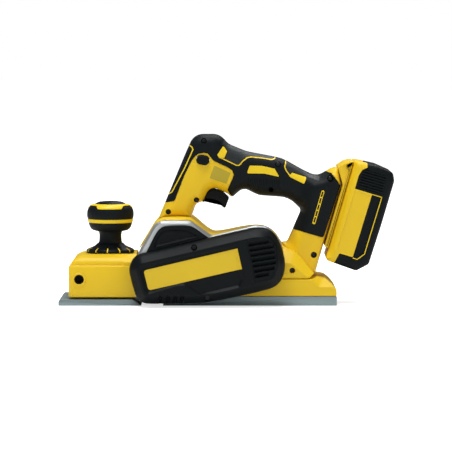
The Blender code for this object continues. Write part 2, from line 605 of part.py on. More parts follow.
def build_cutter(spin):
    """Drum, blades, clamps and the driven pulley, all on the drum's axis."""
    drum = add_object("cutter_drum", prism(drum_profile(), -DRUM_HALF, DRUM_HALF), STEEL, spin)
    weld(drum, rod(DRUM_SHAFT_RADIUS, -70.8, 46.4, 0.0, 0.0, 24))
    for index, lean in ((1, 1.0), (2, -1.0)):
        blade = slot_piece(lean, SLOT_FLOOR + 0.7, BLADE_RADIUS, 1.9, 3.1, DRUM_HALF - GAP)
        add_object(f"cutter_blade_{index}", blade, STEEL, spin)
        clamp = slot_piece(lean, SLOT_FLOOR + 0.7, DRUM_RADIUS - 0.8, -3.1, 1.5, DRUM_HALF - 1.0)
        add_object(f"blade_clamp_{index}", clamp, STEEL, spin)
    low, high = BELT_FACES[0] - 0.8, BELT_FACES[1] + 0.8
    flange = DRUM_PULLEY_RADIUS + 1.6
    profile = [(6.3, low - 0.8), (flange, low - 0.8), (flange, low), (DRUM_PULLEY_RADIUS, low),
               (DRUM_PULLEY_RADIUS, high), (flange, high), (flange, high + 0.8), (6.3, high + 0.8)]
    add_object("drum_pulley", turned(profile, "Y"), ALUMINIUM, spin)


def fan_vane(angle):
    """Return one straight vane of the cooling fan, turned to an angle."""
    across = Vector((-sin(angle), cos(angle))) * 0.9
    along = Vector((cos(angle), sin(angle)))
    outline = [along * 6.5 - across, along * 21.5 - across, along * 21.5 + across, along * 6.5 + across]
    vane = prism(outline, 24.0, 31.0)
    bmesh.ops.recalc_face_normals(vane, faces=vane.faces)
    return vane


def build_rotor(spin):
    """Rotor, shaft, fan and the driving pulley on the motor's axis."""
    add_object("motor_shaft", rod(MOTOR_SHAFT_RADIUS, -70.8, 39.6, 0.0, 0.0, 20), STEEL, spin)
    add_object("rotor_core", sleeve(4.3, 13.4, -20.0, 20.0), STEEL, spin)
    fan = add_object("cooling_fan", sleeve(4.3, 8.0, 23.0, 32.0), BLACK, spin)
    for index in range(FAN_BLADES):
        weld(fan, fan_vane(2.0 * pi * index / FAN_BLADES))
    low, high = BELT_FACES[0] - 0.8, BELT_FACES[1] + 0.8
    profile = [(4.3, low), (MOTOR_PULLEY_RADIUS, low), (MOTOR_PULLEY_RADIUS, high),
               (MOTOR_PULLEY_RADIUS + 1.6, high), (MOTOR_PULLEY_RADIUS + 1.6, high + 0.8), (4.3, high + 0.8)]
    add_object("motor_pulley", turned(profile, "Y"), ALUMINIUM, spin)


def build_belt():
    """The drive belt, a closed loop round both pulleys."""
    length = hypot(MOTOR_X - DRUM_X, MOTOR_Z - DRUM_Z)
    slope = atan2(MOTOR_Z - DRUM_Z, MOTOR_X - DRUM_X)

    def loop(extra):
        big, small = DRUM_PULLEY_RADIUS + extra, MOTOR_PULLEY_RADIUS + extra
        lean = (pi / 2.0) - (big - small) / length
        points = []
        for index in range(15):
            angle = slope + lean + (2.0 * pi - 2.0 * lean) * index / 14
            points.append(Vector((DRUM_X + big * cos(angle), DRUM_Z + big * sin(angle))))
        for index in range(11):
            angle = slope - lean + 2.0 * lean * index / 10
            points.append(Vector((MOTOR_X + small * cos(angle), MOTOR_Z + small * sin(angle))))
        return points

    inner, outer = loop(GAP + 0.25), loop(GAP + BELT_THICK)
    bm = bmesh.new()
    rings = [[bm.verts.new((p.x, y, p.y)) for p in outline]
             for outline, y in ((inner, BELT_FACES[0]), (outer, BELT_FACES[0]),
                                (outer, BELT_FACES[1]), (inner, BELT_FACES[1]))]
    for ring, following in zip(rings, rings[1:] + rings[:1]):
        for index in range(len(ring)):
            nxt = (index + 1) % len(ring)
            bm.faces.new((ring[index], ring[nxt], following[nxt], following[index]))
    add_object("drive_belt", bm, BELT_RUBBER)


def build_bearings_and_stator():
    """The four ball bearings and the motor's wound stator."""
    add_object("drum_bearing_left", sleeve(6.3, 10.8, -56.0, -48.0, DRUM_X, DRUM_Z), STEEL)
    add_object("drum_bearing_right", sleeve(6.3, 10.8, 41.8, 46.8, DRUM_X, DRUM_Z), STEEL)
    add_object("motor_bearing_left", sleeve(4.3, 9.6, -56.4, -50.0, MOTOR_X, MOTOR_Z), STEEL)
    add_object("motor_bearing_right", sleeve(4.3, 9.3, 34.4, 40.4, MOTOR_X, MOTOR_Z), STEEL)
    add_object("motor_stator", sleeve(14.2, STATOR_RADIUS, -22.0, 22.0, MOTOR_X, MOTOR_Z), COPPER)


# ---------------------------------------------------------------- knob

def build_knob(spin):
    """The depth knob: stud, dial and the banded grip above it."""
    parts = {
        "knob_stud": ([(0.0, 12.0), (4.6, 12.0), (4.6, 71.0), (0.0, 71.0)], STEEL),
        "depth_dial": ([(5.0, 53.1), (24.6, 53.1), (25.6, 54.0), (25.4, 56.4), (15.5, 61.6), (13.4, 63.4),
                        (5.0, 63.4)], BLACK),
        "knob_neck": ([(0.0, 72.0), (5.0, 72.0), (5.0, 63.7), (13.0, 63.7), (11.9, 66.0), (11.7, 74.0),
                       (13.0, 76.2), (19.0, 77.0), (22.4, 80.0), (23.6, 85.3), (0.0, 85.3)], RUBBER),
        "knob_band_lower": ([(0.0, 85.6), (23.9, 85.6), (24.4, 89.3), (0.0, 89.3)], YELLOW),
        "knob_grip": ([(0.0, 89.6), (24.3, 89.6), (25.1, 93.0), (25.1, 96.0), (23.2, 99.6),
                       (0.0, 99.6)], RUBBER),
        "knob_band_upper": ([(0.0, 99.9), (22.6, 99.9), (19.8, 103.4), (16.6, 105.2), (0.0, 105.2)], YELLOW),
        "knob_cap": ([(0.0, 105.5), (16.0, 105.5), (13.6, 107.4), (11.0, 108.3), (0.0, 108.3)], BLACK),
    }
    for name, (profile, recipe) in parts.items():
        add_object(name, turned(profile, "Z", (0.0, 0.0), KNOB_SEGMENTS), recipe, spin)


# ---------------------------------------------------------------- battery

def pack_shell(edge, bevel=3.0):
    """Return a closed block across the pack's width with its side edges chamfered."""
    rim = inset(edge, bevel)
    return loft([(-PACK_HALF, rim), (-PACK_HALF + bevel, edge), (PACK_HALF - bevel, edge), (PACK_HALF, rim)])


def build_battery(slide, button_slide):
    """The pack: inner case with its rail groove, outer case, cells and release button."""
    near, far = PACK_DEPTH
    low, high = PACK_HEIGHT
    split = 24.0
    inner_edge = rounded([(near, low + 4.0, 3.0), (near + 8.0, low, 4.0), (split, low, 0.0),
                          (split, high + 0.4, 0.0), (near + 5.0, high - 0.6, 3.0), (near, high - 4.0, 2.0)])
    outer_edge = rounded([(split + GAP, low, 0.0), (far - 9.0, low + 1.0, 4.0), (far, low + 11.0, 5.0),
                          (far, high - 8.0, 7.0), (far - 6.0, high - 0.8, 6.0),
                          (split + GAP, high + 0.4, 0.0)])
    case = add_object("battery_inner_case", pack_shell(inner_edge), YELLOW, slide)
    cut(case, box(near - 1.0, 4.4, -15.0, 15.0, low - 4.0, 98.0))
    cut(case, box(7.0, split + 2.0, -35.0, 35.0, low + 4.0, high - 14.0))
    cut(case, box(8.0, 20.0, -9.0, 9.0, high - 9.0, high + 3.0))
    shell = add_object("battery_outer_case", pack_shell(outer_edge), BLACK, slide)
    cut(shell, box(split - 2.0, far - 3.4, -34.0, 34.0, low + 12.0, high - 14.0))
    add_object("battery_cells", box(7.6, far - 4.0, -33.4, 33.4, low + 12.6, high - 14.6), STEEL, slide)
    face = rounded([(-5.6, -5.2, 0.0), (5.6, -5.2, 0.0), (5.6, 0.5, 1.2), (-5.6, 0.5, 1.2)])
    button = prism(face, -8.6, 8.6)
    add_object("battery_release_button", button, BLACK, button_slide)


def build_terminal_block(frame):
    """The rail block on the tool's rear face that the pack slides on."""
    block = add_object("terminal_block", box(-6.2, -2.8, -24.0, 24.0, 24.0, 96.0), BLACK, frame)
    weld(block, box(-4.0, 3.8, -14.4, 14.4, 26.0, 94.0))


def build_pack_flange(frame):
    """The yellow flange on the tool's rear that meets the battery."""
    outline = rounded([(-6.8, 18.0, 0.0), (-6.8, 84.6, 0.0), (-15.6, 102.9, 1.0), (-6.4, 110.6, 3.0),
                       (-2.8, 108.4, 2.0), (-2.8, 18.0, 0.0)])
    sections = [(-30.0, inset(outline, 0.8)), (-29.2, outline), (29.2, outline), (30.0, inset(outline, 0.8))]
    flange = add_object("battery_flange", loft(sections), YELLOW, frame)
    cut(flange, box(-9.0, 1.0, -24.4, 24.4, 12.0, 96.6))


def main():
    """Build every sub-part in the order it would be put together."""
    clear_scene()
    build_rear_shoe()
    build_front_shoe(pivot("front_shoe_slide", KNOB_X, 0.0, 0.0))
    build_kickstand(pivot("kickstand_hinge", KICKSTAND_PIN[0], -34.5, KICKSTAND_PIN[1]))
    build_front_housing()
    build_main_frame()
    build_chip_outlet()
    build_belt_cover()
    build_rear_base()
    build_bearings_and_stator()
    build_belt()
    build_cutter(pivot("drum_axis", DRUM_X, 0.0, DRUM_Z))
    build_rotor(pivot("motor_axis", MOTOR_X, 0.0, MOTOR_Z))
    for side in (-1.0, 1.0):
        build_handle_shell(side)
        build_grip_skins(side)
    build_handle_screws()
    build_controls(pivot("trigger_slide", TRIGGER_PIVOT[0], 0.0, TRIGGER_PIVOT[1]),
                   pivot("lock_slide", LOCK_CENTRE[0], 0.0, LOCK_CENTRE[1]))
    build_knob(pivot("knob_axis", KNOB_X, 0.0, 0.0))
    tilted = pivot("battery_axis", PACK_X, 0.0, PACK_Z, PACK_TILT)
    button_slide = pivot("release_axis", 0.0, 0.0, 0.0)
    button_slide.parent = tilted
    button_slide.location = (14.0 * MM, 0.0, PACK_HEIGHT[1] * MM)
    build_battery(tilted, button_slide)
    build_terminal_block(tilted)
    build_pack_flange(tilted)


main()
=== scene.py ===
"""Looks of the cordless hand planer: moulded shells, rubber grips, belt cover, knob, battery and soles.

Everything is drawn in millimetres in the part's own frame and scaled once by MM. X runs to the rear,
Z is up, and -Y is the tool's left side, the one with the belt cover.
"""

import json
import logging
from dataclasses import dataclass, field
from enum import Enum
from math import atan2, cos, degrees, pi, radians, sin, tan
from typing import Callable, Iterable, Sequence

import bpy
import bmesh
import numpy as np
from mathutils import Matrix, Vector
from mathutils.geometry import delaunay_2d_cdt

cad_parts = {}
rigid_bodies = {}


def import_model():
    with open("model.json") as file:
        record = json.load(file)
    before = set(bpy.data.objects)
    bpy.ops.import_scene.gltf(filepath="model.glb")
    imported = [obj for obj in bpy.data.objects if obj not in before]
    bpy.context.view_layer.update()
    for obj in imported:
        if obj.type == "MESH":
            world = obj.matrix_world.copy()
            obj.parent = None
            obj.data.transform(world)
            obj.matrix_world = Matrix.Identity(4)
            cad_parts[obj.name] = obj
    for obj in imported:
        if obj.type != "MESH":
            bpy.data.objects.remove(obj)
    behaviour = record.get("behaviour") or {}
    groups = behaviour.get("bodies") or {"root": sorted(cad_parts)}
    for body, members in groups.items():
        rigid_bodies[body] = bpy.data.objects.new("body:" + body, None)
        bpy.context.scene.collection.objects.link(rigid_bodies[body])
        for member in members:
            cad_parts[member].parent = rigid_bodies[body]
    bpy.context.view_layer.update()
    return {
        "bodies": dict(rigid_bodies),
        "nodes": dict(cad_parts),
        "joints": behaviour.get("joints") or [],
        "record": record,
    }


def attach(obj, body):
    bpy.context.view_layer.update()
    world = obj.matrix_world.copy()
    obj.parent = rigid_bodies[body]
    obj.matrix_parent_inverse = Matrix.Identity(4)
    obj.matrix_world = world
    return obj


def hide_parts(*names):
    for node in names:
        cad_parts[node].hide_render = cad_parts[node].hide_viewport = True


MM = 0.001
LOG = logging.getLogger("planer")
Point = tuple[float, float]
Corner = tuple[float, float, float]
Height = Callable[[np.ndarray, np.ndarray], np.ndarray]


class Side(Enum):
    """The tool's two sides, by the sign of Y."""

    LEFT = -1.0
    RIGHT = 1.0

    @property
    def word(self) -> str:
        """Return the side's name in lower case."""
        return self.name.lower()


WALLS = {Side.LEFT: 46.8, Side.RIGHT: 44.0}
DRUM_AXIS = (-104.2, 0.0, 23.5)
FENCE_AXIS = (-182.6, 0.0, 27.5)
LOCK_BUTTON = (-51.5, 153.2)


# ---------------------------------------------------------------- plane geometry

def rounded(corners: Sequence[Corner], step: float = 10.0) -> np.ndarray:
    """Replace the corners of an outline by arcs.

    Args:
        corners: (x, z, radius) of each corner, in mm.
        step: the arcs' largest step, in degrees.

    Returns:
        The outline as an N x 2 array.
    """
    outline: list[Vector] = []
    for index, (x, z, radius) in enumerate(corners):
        corner = Vector((x, z))
        if radius <= 0.0:
            outline.append(corner)
            continue
        before = Vector(corners[index - 1][:2]) - corner
        after = Vector(corners[(index + 1) % len(corners)][:2]) - corner
        half = before.angle(after) / 2.0
        reach = min(radius / tan(half), 0.48 * before.length, 0.48 * after.length)
        radius = reach * tan(half)
        middle = corner + (before.normalized() + after.normalized()).normalized() * radius / sin(half)
        first = corner + before.normalized() * reach - middle
        sweep = first.angle_signed(corner + after.normalized() * reach - middle)
        parts = max(2, round(abs(degrees(sweep)) / step))
        start = atan2(first.y, first.x)
        for part in range(parts + 1):
            angle = start - sweep * part / parts
            outline.append(middle + radius * Vector((cos(angle), sin(angle))))
    return np.array([tuple(point) for point in outline])


def smoothed(points: Sequence[Point], rounds: int = 2, closed: bool = True) -> np.ndarray:
    """Round an outline off by cutting its corners a few times."""
    line = np.array(points, float)
    for _ in range(rounds):
        ahead = np.roll(line, -1, axis=0)
        near, far = 0.75 * line + 0.25 * ahead, 0.25 * line + 0.75 * ahead
        cut = np.stack([near, far], axis=1).reshape(-1, 2)
        line = cut if closed else np.concatenate([line[:1], cut[:-2], line[-1:]])
    return line


def circle(x: float, z: float, radius: float, segments: int = 28) -> np.ndarray:
    """Return a circular outline as an N x 2 array."""
    angles = np.arange(segments) * 2.0 * pi / segments
    return np.stack([x + radius * np.cos(angles), z + radius * np.sin(angles)], axis=1)


def resample(line: np.ndarray, pitch: float, closed: bool = True) -> np.ndarray:
    """Split the long segments of a line so that none is longer than the pitch."""
    points = []
    count = len(line) if closed else len(line) - 1
    for index in range(count):
        start, end = line[index], line[(index + 1) % len(line)]
        parts = max(1, int(np.ceil(np.linalg.norm(end - start) / pitch)))
        points.extend(start + (end - start) * part / parts for part in range(parts))
    if not closed:
        points.append(line[-1])
    return np.array(points)


def offset(line: np.ndarray, distance: float, closed: bool = True) -> np.ndarray:
    """Move a line sideways; a positive distance goes inwards on a closed outline."""
    if closed:
        before = line - np.roll(line, 1, axis=0)
        after = np.roll(line, -1, axis=0) - line
        area = np.sum(line[:, 0] * np.roll(line[:, 1], -1) - np.roll(line[:, 0], -1) * line[:, 1])
        turn = 1.0 if area > 0.0 else -1.0
    else:
        before = np.gradient(line, axis=0)
        after = before
        turn = 1.0
    before = before / np.maximum(np.linalg.norm(before, axis=1, keepdims=True), 1e-9)
    after = after / np.maximum(np.linalg.norm(after, axis=1, keepdims=True), 1e-9)
    along = before + after
    normal = np.stack([-along[:, 1], along[:, 0]], axis=1)
    normal = normal / np.maximum(np.linalg.norm(normal, axis=1, keepdims=True), 1e-9) * turn
    edge = np.stack([-before[:, 1], before[:, 0]], axis=1) * turn
    stretch = np.maximum(0.5, np.sum(normal * edge, axis=1, keepdims=True))
    return line + normal * distance / stretch


def inside(points: np.ndarray, outline: np.ndarray) -> np.ndarray:
    """Return which of the points lie inside a closed outline."""
    result = np.zeros(len(points), bool)
    x, z = points[:, 0], points[:, 1]
    for start, end in zip(outline, np.roll(outline, -1, axis=0)):
        crosses = (start[1] > z) != (end[1] > z)
        rise = end[1] - start[1]
        at = start[0] + (z - start[1]) * (end[0] - start[0]) / (rise if abs(rise) > 1e-12 else 1e-12)
        result ^= crosses & (x < at)
    return result


def distance(points: np.ndarray, line: np.ndarray, closed: bool = True) -> np.ndarray:
    """Return each point's distance to a line."""
    best = np.full(len(points), 1e9)
    ends = np.roll(line, -1, axis=0) if closed else line[1:]
    for start, end in zip(line, ends):
        along = end - start
        length = max(float(along @ along), 1e-12)
        share = np.clip(((points - start) @ along) / length, 0.0, 1.0)
        best = np.minimum(best, np.linalg.norm(points - start - share[:, None] * along, axis=1))
    return best


def smooth(value: np.ndarray) -> np.ndarray:
    """Return a smooth 0 to 1 step of a value."""
    value = np.clip(value, 0.0, 1.0)
    return value * value * (3.0 - 2.0 * value)


# ---------------------------------------------------------------- meshes

def make_object(name: str, verts: Iterable[Sequence[float]], faces: Iterable[Sequence[int]],
                finish: "Finish", sharp: float = 35.0, matrix: Matrix | None = None) -> bpy.types.Object:
    """Make a smooth-shaded object from vertices in mm.

    Args:
        name: the piece's name.
        verts: the vertices, in mm.
        faces: the faces, as vertex numbers.
        finish: the finish it wears.
        sharp: edges steeper than this angle in degrees stay sharp.
        matrix: an optional placing of the vertices, with its shift in mm.

    Returns:
        The new object.
    """
    places = [Vector(vert) for vert in verts]
    if matrix is not None:
        places = [matrix @ place for place in places]
    mesh = bpy.data.meshes.new(name)
    mesh.from_pydata([place * MM for place in places], [], [list(face) for face in faces])
    mesh.update()
    mesh.shade_smooth()
    mesh.set_sharp_from_angle(angle=radians(sharp))
    mesh.materials.append(finish.material())
    piece = bpy.data.objects.new(name, mesh)
    bpy.context.scene.collection.objects.link(piece)
    return piece


def ring_faces(rings: int, count: int) -> list[tuple[int, ...]]:
    """Return the quads between stacked rings of count vertices each."""
    faces = []
    for ring in range(rings - 1):
        for index in range(count):
            nxt = (index + 1) % count
            faces.append((ring * count + index, ring * count + nxt,
                          (ring + 1) * count + nxt, (ring + 1) * count + index))
    return faces


def put_on(side: Side, piece: bpy.types.Object) -> None:
    """Mirror a piece that was drawn on the right when it belongs on the left."""
    if side is Side.LEFT:
        piece.data.transform(Matrix.Scale(-1.0, 4, (0.0, 1.0, 0.0)))
        piece.data.flip_normals()


def down_to(depth: float) -> Callable[[np.ndarray], np.ndarray]:
    """Return a wall rule that ends at one depth all round."""
    return lambda flat: np.full(len(flat), depth)


def carve(piece: bpy.types.Object, cutter: bpy.types.Object) -> None:
    """Cut one mesh out of another and drop the cutter."""
    modifier = piece.modifiers.new("carve", "BOOLEAN")
    modifier.operation = "DIFFERENCE"
    modifier.solver = "EXACT"
    modifier.object = cutter
    graph = bpy.context.evaluated_depsgraph_get()
    cut = bpy.data.meshes.new_from_object(piece.evaluated_get(graph))
    piece.modifiers.clear()
    piece.data = cut
    bpy.data.objects.remove(cutter, do_unlink=True)


def settle(piece: bpy.types.Object, body: str, stands_for: Sequence[str] = ()) -> bpy.types.Object:
    """Ride a piece on its body, and hide the nodes that it stands for."""
    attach(piece, body)
    if stands_for:
        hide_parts(*stands_for)
    LOG.info("%s rides on %s", piece.name, body)
    return piece


def loft(name: str, sections: Sequence[tuple[float, np.ndarray]], finish: "Finish", caps: bool = True,
         sharp: float = 35.0, matrix: Matrix | None = None) -> bpy.types.Object:
    """Skin a stack of (y, outline) sections that all have the same number of points."""
    verts = [(x, y, z) for y, outline in sections for x, z in outline]
    count = len(sections[0][1])
    faces = ring_faces(len(sections), count)
    if caps:
        faces.append(tuple(range(count)))
        faces.append(tuple(range((len(sections) - 1) * count, len(sections) * count)))
    piece = make_object(name, verts, faces, finish, sharp, matrix)
    face_outwards(piece)
    return piece


def face_outwards(piece: bpy.types.Object) -> None:
    """Turn every face of a closed mesh outwards."""
    bm = bmesh.new()
    bm.from_mesh(piece.data)
    bmesh.ops.recalc_face_normals(bm, faces=bm.faces)
    bm.to_mesh(piece.data)
    bm.free()


def soft_prism(name: str, outline: np.ndarray, y0: float, y1: float, edge: float, finish: "Finish",
               matrix: Matrix | None = None, steps: int = 4) -> bpy.types.Object:
    """Extrude an outline along Y with rounded rims at both ends."""
    low, high = sorted((y0, y1))
    angles = [pi / 2.0 * index / steps for index in range(steps + 1)]
    rings = [(edge * (1.0 - sin(angle)), offset(outline, edge * (1.0 - cos(angle)))) for angle in angles]
    sections = [(low + drop, ring) for drop, ring in reversed(rings)]
    sections += [(high - drop, ring) for drop, ring in rings]
    return loft(name, sections, finish, matrix=matrix)


def turned(name: str, profile: Sequence[Point], finish: "Finish", axis: str = "Z",
           centre: tuple[float, float, float] = (0.0, 0.0, 0.0), segments: int = 96,
           sharp: float = 35.0, wave: Callable[[float, float, float], Point] | None = None,
           caps: bool = True) -> bpy.types.Object:
    """Spin a (radius, height) profile round an axis; wave may bend it by angle."""
    verts = []
    for radius, height in profile:
        for index in range(segments):
            angle = 2.0 * pi * index / segments
            r, h = wave(radius, height, angle) if wave else (radius, height)
            a, b = r * cos(angle), r * sin(angle)
            spot = (a, b, h) if axis == "Z" else (a, h, b)
            verts.append(tuple(c + s for c, s in zip(centre, spot)))
    faces = ring_faces(len(profile), segments)
    for ring in (0, len(profile) - 1):
        if caps and profile[ring][0] > 0.05:
            faces.append(tuple(range(ring * segments, (ring + 1) * segments)))
    piece = make_object(name, verts, faces, finish, sharp)
    bm = bmesh.new()
    bm.from_mesh(piece.data)
    bmesh.ops.remove_doubles(bm, verts=bm.verts, dist=1e-6)
    bmesh.ops.recalc_face_normals(bm, faces=bm.faces)
    bm.to_mesh(piece.data)
    bm.free()
    return piece


@dataclass
class Relief:
    """A moulded face: an outline filled with triangles whose depth along Y follows a height rule.

    Regions are closed outlines whose borders the triangles follow, so each can become a piece of
    its own colour; seams are lines that the mesh follows; holes are left open.
    """

    outline: np.ndarray
    height: Height
    regions: dict[str, np.ndarray] = field(default_factory=dict)
    seams: list[np.ndarray] = field(default_factory=list)
    holes: list[np.ndarray] = field(default_factory=list)
    rings: tuple[float, ...] = (0.1, 0.35, 0.8, 1.4, 2.2, 3.2, 4.6)
    pitch: float = 2.4
    steps: tuple[float, ...] = (-0.35, 0.15, 0.5, 1.1)
    side: Side = Side.LEFT
    matrix: Matrix | None = None
    wall: Callable[[np.ndarray], np.ndarray] | None = None

    def _points(self) -> tuple[list[np.ndarray], list[tuple[int, int]]]:
        """Return the flat points and the edges that the triangles must follow."""
        points: list[np.ndarray] = []
        edges: list[tuple[int, int]] = []

        def add(line: np.ndarray, closed: bool) -> None:
            first = len(points)
            points.extend(line)
            last = len(line) if closed else len(line) - 1
            edges.extend((first + i, first + (i + 1) % len(line)) for i in range(last))

        border = resample(self.outline, self.pitch)
        add(border, True)
        guides = [(resample(region, self.pitch * 0.7), True) for region in self.regions.values()]
        guides += [(resample(seam, self.pitch * 0.7, False), False) for seam in self.seams]
        guides += [(hole, True) for hole in self.holes]
        extra: list[np.ndarray] = []
        for line, closed in guides:
            add(line, closed)
            extra.extend(offset(line, step, closed) for step in self.steps)
        for ring in self.rings:
            moved = offset(border, ring)
            extra.append(moved[distance(moved, border) > 0.93 * ring])
        low, high = self.outline.min(0), self.outline.max(0)
        rows = np.arange(low[1], high[1], self.pitch * 0.87)
        for index, z in enumerate(rows):
            xs = np.arange(low[0] + (index % 2) * self.pitch / 2.0, high[0], self.pitch)
            row = np.stack([xs, np.full(len(xs), z)], axis=1)
            clear = distance(row, border) > self.rings[-1] + 0.4 * self.pitch
            for line, closed in guides:
                clear &= distance(row, line, closed) > 0.45 * self.pitch
            extra.append(row[clear])
        loose = np.concatenate([part for part in extra if len(part)])
        loose = loose[inside(loose, self.outline)]
        loose = loose[distance(loose, border) > 0.04]
        points.extend(loose)
        return points, edges

    def build(self, names: dict[str, tuple[str, "Finish"]]) -> dict[str, bpy.types.Object]:
        """Build one object for each named region.

        Args:
            names: for each region, and "rest" for what no region covers, the piece's name and finish.

        Returns:
            The objects by region.
        """
        points, edges = self._points()
        flat, _, triangles, *_ = delaunay_2d_cdt([Vector(p) for p in points], edges, [], 0, 1e-4)
        spots = np.array([tuple(p) for p in flat])
        faces = np.array([face for face in triangles if len(face) == 3])
        middles = spots[faces].mean(axis=1)
        keep = inside(middles, self.outline)
        for hole in self.holes:
            keep &= ~inside(middles, hole)
        faces, middles = faces[keep], middles[keep]
        depth = distance(spots, self.outline)
        depth[depth < 1e-3] = 0.0
        heights = self.height(spots, depth)
        verts = np.stack([spots[:, 0], heights * self.side.value, spots[:, 1]], axis=1)
        owner = np.full(len(faces), "rest", dtype=object)
        for region, outline in self.regions.items():
            owner[inside(middles, outline)] = region.split("#")[0]
        made = {}
        for region, (name, finish) in names.items():
            chosen = faces[owner == region]
            if not len(chosen):
                continue
            used, fresh = np.unique(chosen, return_inverse=True)
            local = fresh.reshape(chosen.shape)
            corner = spots[chosen]
            area = np.cross(corner[:, 1] - corner[:, 0], corner[:, 2] - corner[:, 0])
            flip = (area > 0.0) == (self.side is Side.RIGHT)
            local[flip] = local[flip][:, ::-1]
            own = verts[used].tolist()
            local_faces = local.tolist()
            if self.wall is not None:
                self._add_wall(own, local_faces)
            made[region] = make_object(name, own, local_faces, finish, matrix=self.matrix)
        return made

    def _add_wall(self, verts: list, faces: list) -> None:
        """Drop a wall from the open outer rim of a region to the depth that wall gives."""
        count: dict[tuple[int, int], int] = {}
        for face in faces:
            for a, b in zip(face, face[1:] + face[:1]):
                count[(a, b)] = count.get((a, b), 0) + 1
        rim = [(a, b) for (a, b) in count if (b, a) not in count]
        flat = np.array([(v[0], v[2]) for v in verts])
        on_edge = distance(flat, self.outline) < 1e-3
        base = self.wall(flat)
        lowered: dict[int, int] = {}
        for a, b in rim:
            if not (on_edge[a] and on_edge[b]):
                continue
            for index in (a, b):
                if index not in lowered:
                    lowered[index] = len(verts)
                    verts.append([verts[index][0], float(base[index]) * self.side.value, verts[index][2]])
            faces.append([b, a, lowered[a], lowered[b]])


# ---------------------------------------------------------------- finishes

def grain_group() -> bpy.types.ShaderNodeTree:
    """Return the shared group for a moulded grain: a height, a soft tint and a roughness change."""
    found = bpy.data.node_groups.get("moulded_grain")
    if found:
        return found
    tree = bpy.data.node_groups.new("moulded_grain", "ShaderNodeTree")
    for name, value in (("Scale", 900.0), ("Blotch", 25.0)):
        socket = tree.interface.new_socket(name, in_out="INPUT", socket_type="NodeSocketFloat")
        socket.default_value = value
    for name in ("Height", "Tint", "Rough"):
        tree.interface.new_socket(name, in_out="OUTPUT", socket_type="NodeSocketFloat")
    nodes, links = tree.nodes, tree.links
    start, end = nodes.new("NodeGroupInput"), nodes.new("NodeGroupOutput")
    place = nodes.new("ShaderNodeTexCoord")
    fine, blotch = nodes.new("ShaderNodeTexVoronoi"), nodes.new("ShaderNodeTexNoise")
    fine.feature = "SMOOTH_F1"
    blotch.inputs["Detail"].default_value = 4.0
    links.new(place.outputs["Object"], fine.inputs["Vector"])
    links.new(place.outputs["Object"], blotch.inputs["Vector"])
    links.new(start.outputs["Scale"], fine.inputs["Scale"])
    links.new(start.outputs["Blotch"], blotch.inputs["Scale"])
    links.new(fine.outputs["Distance"], end.inputs["Height"])
    links.new(blotch.outputs["Fac"], end.inputs["Tint"])
    rough = nodes.new("ShaderNodeMapRange")
    rough.inputs["From Min"].default_value = 0.3
    rough.inputs["From Max"].default_value = 0.7
    rough.inputs["To Min"].default_value = -0.05
    rough.inputs["To Max"].default_value = 0.05
    links.new(blotch.outputs["Fac"], rough.inputs["Value"])
    links.new(rough.outputs["Result"], end.inputs["Rough"])
    return tree


def wear_and_highlight_group() -> bpy.types.ShaderNodeTree:
    """Return the shared group for the edge mask: bright along convex edges, where it paints partly edge wear and
    partly a painted highlight.
    """
    found = bpy.data.node_groups.get("edge_wear")
    if found:
        return found
    tree = bpy.data.node_groups.new("edge_wear", "ShaderNodeTree")
    socket = tree.interface.new_socket("Amount", in_out="INPUT", socket_type="NodeSocketFloat")
    socket.default_value = 0.3
    tree.interface.new_socket("Mask", in_out="OUTPUT", socket_type="NodeSocketFloat")
    nodes, links = tree.nodes, tree.links
    start, end = nodes.new("NodeGroupInput"), nodes.new("NodeGroupOutput")
    shape, noise = nodes.new("ShaderNodeNewGeometry"), nodes.new("ShaderNodeTexNoise")
    place, ramp = nodes.new("ShaderNodeTexCoord"), nodes.new("ShaderNodeMapRange")
    broken, scaled = nodes.new("ShaderNodeMath"), nodes.new("ShaderNodeMath")
    noise.inputs["Scale"].default_value = 180.0
    ramp.inputs["From Min"].default_value = 0.53
    ramp.inputs["From Max"].default_value = 0.62
    broken.operation = "MULTIPLY"
    scaled.operation = "MULTIPLY"
    links.new(place.outputs["Object"], noise.inputs["Vector"])
    links.new(shape.outputs["Pointiness"], ramp.inputs["Value"])
    links.new(ramp.outputs["Result"], broken.inputs[0])
    links.new(noise.outputs["Fac"], broken.inputs[1])
    links.new(broken.outputs[0], scaled.inputs[0])
    links.new(start.outputs["Amount"], scaled.inputs[1])
    links.new(scaled.outputs[0], end.inputs["Mask"])
    return tree


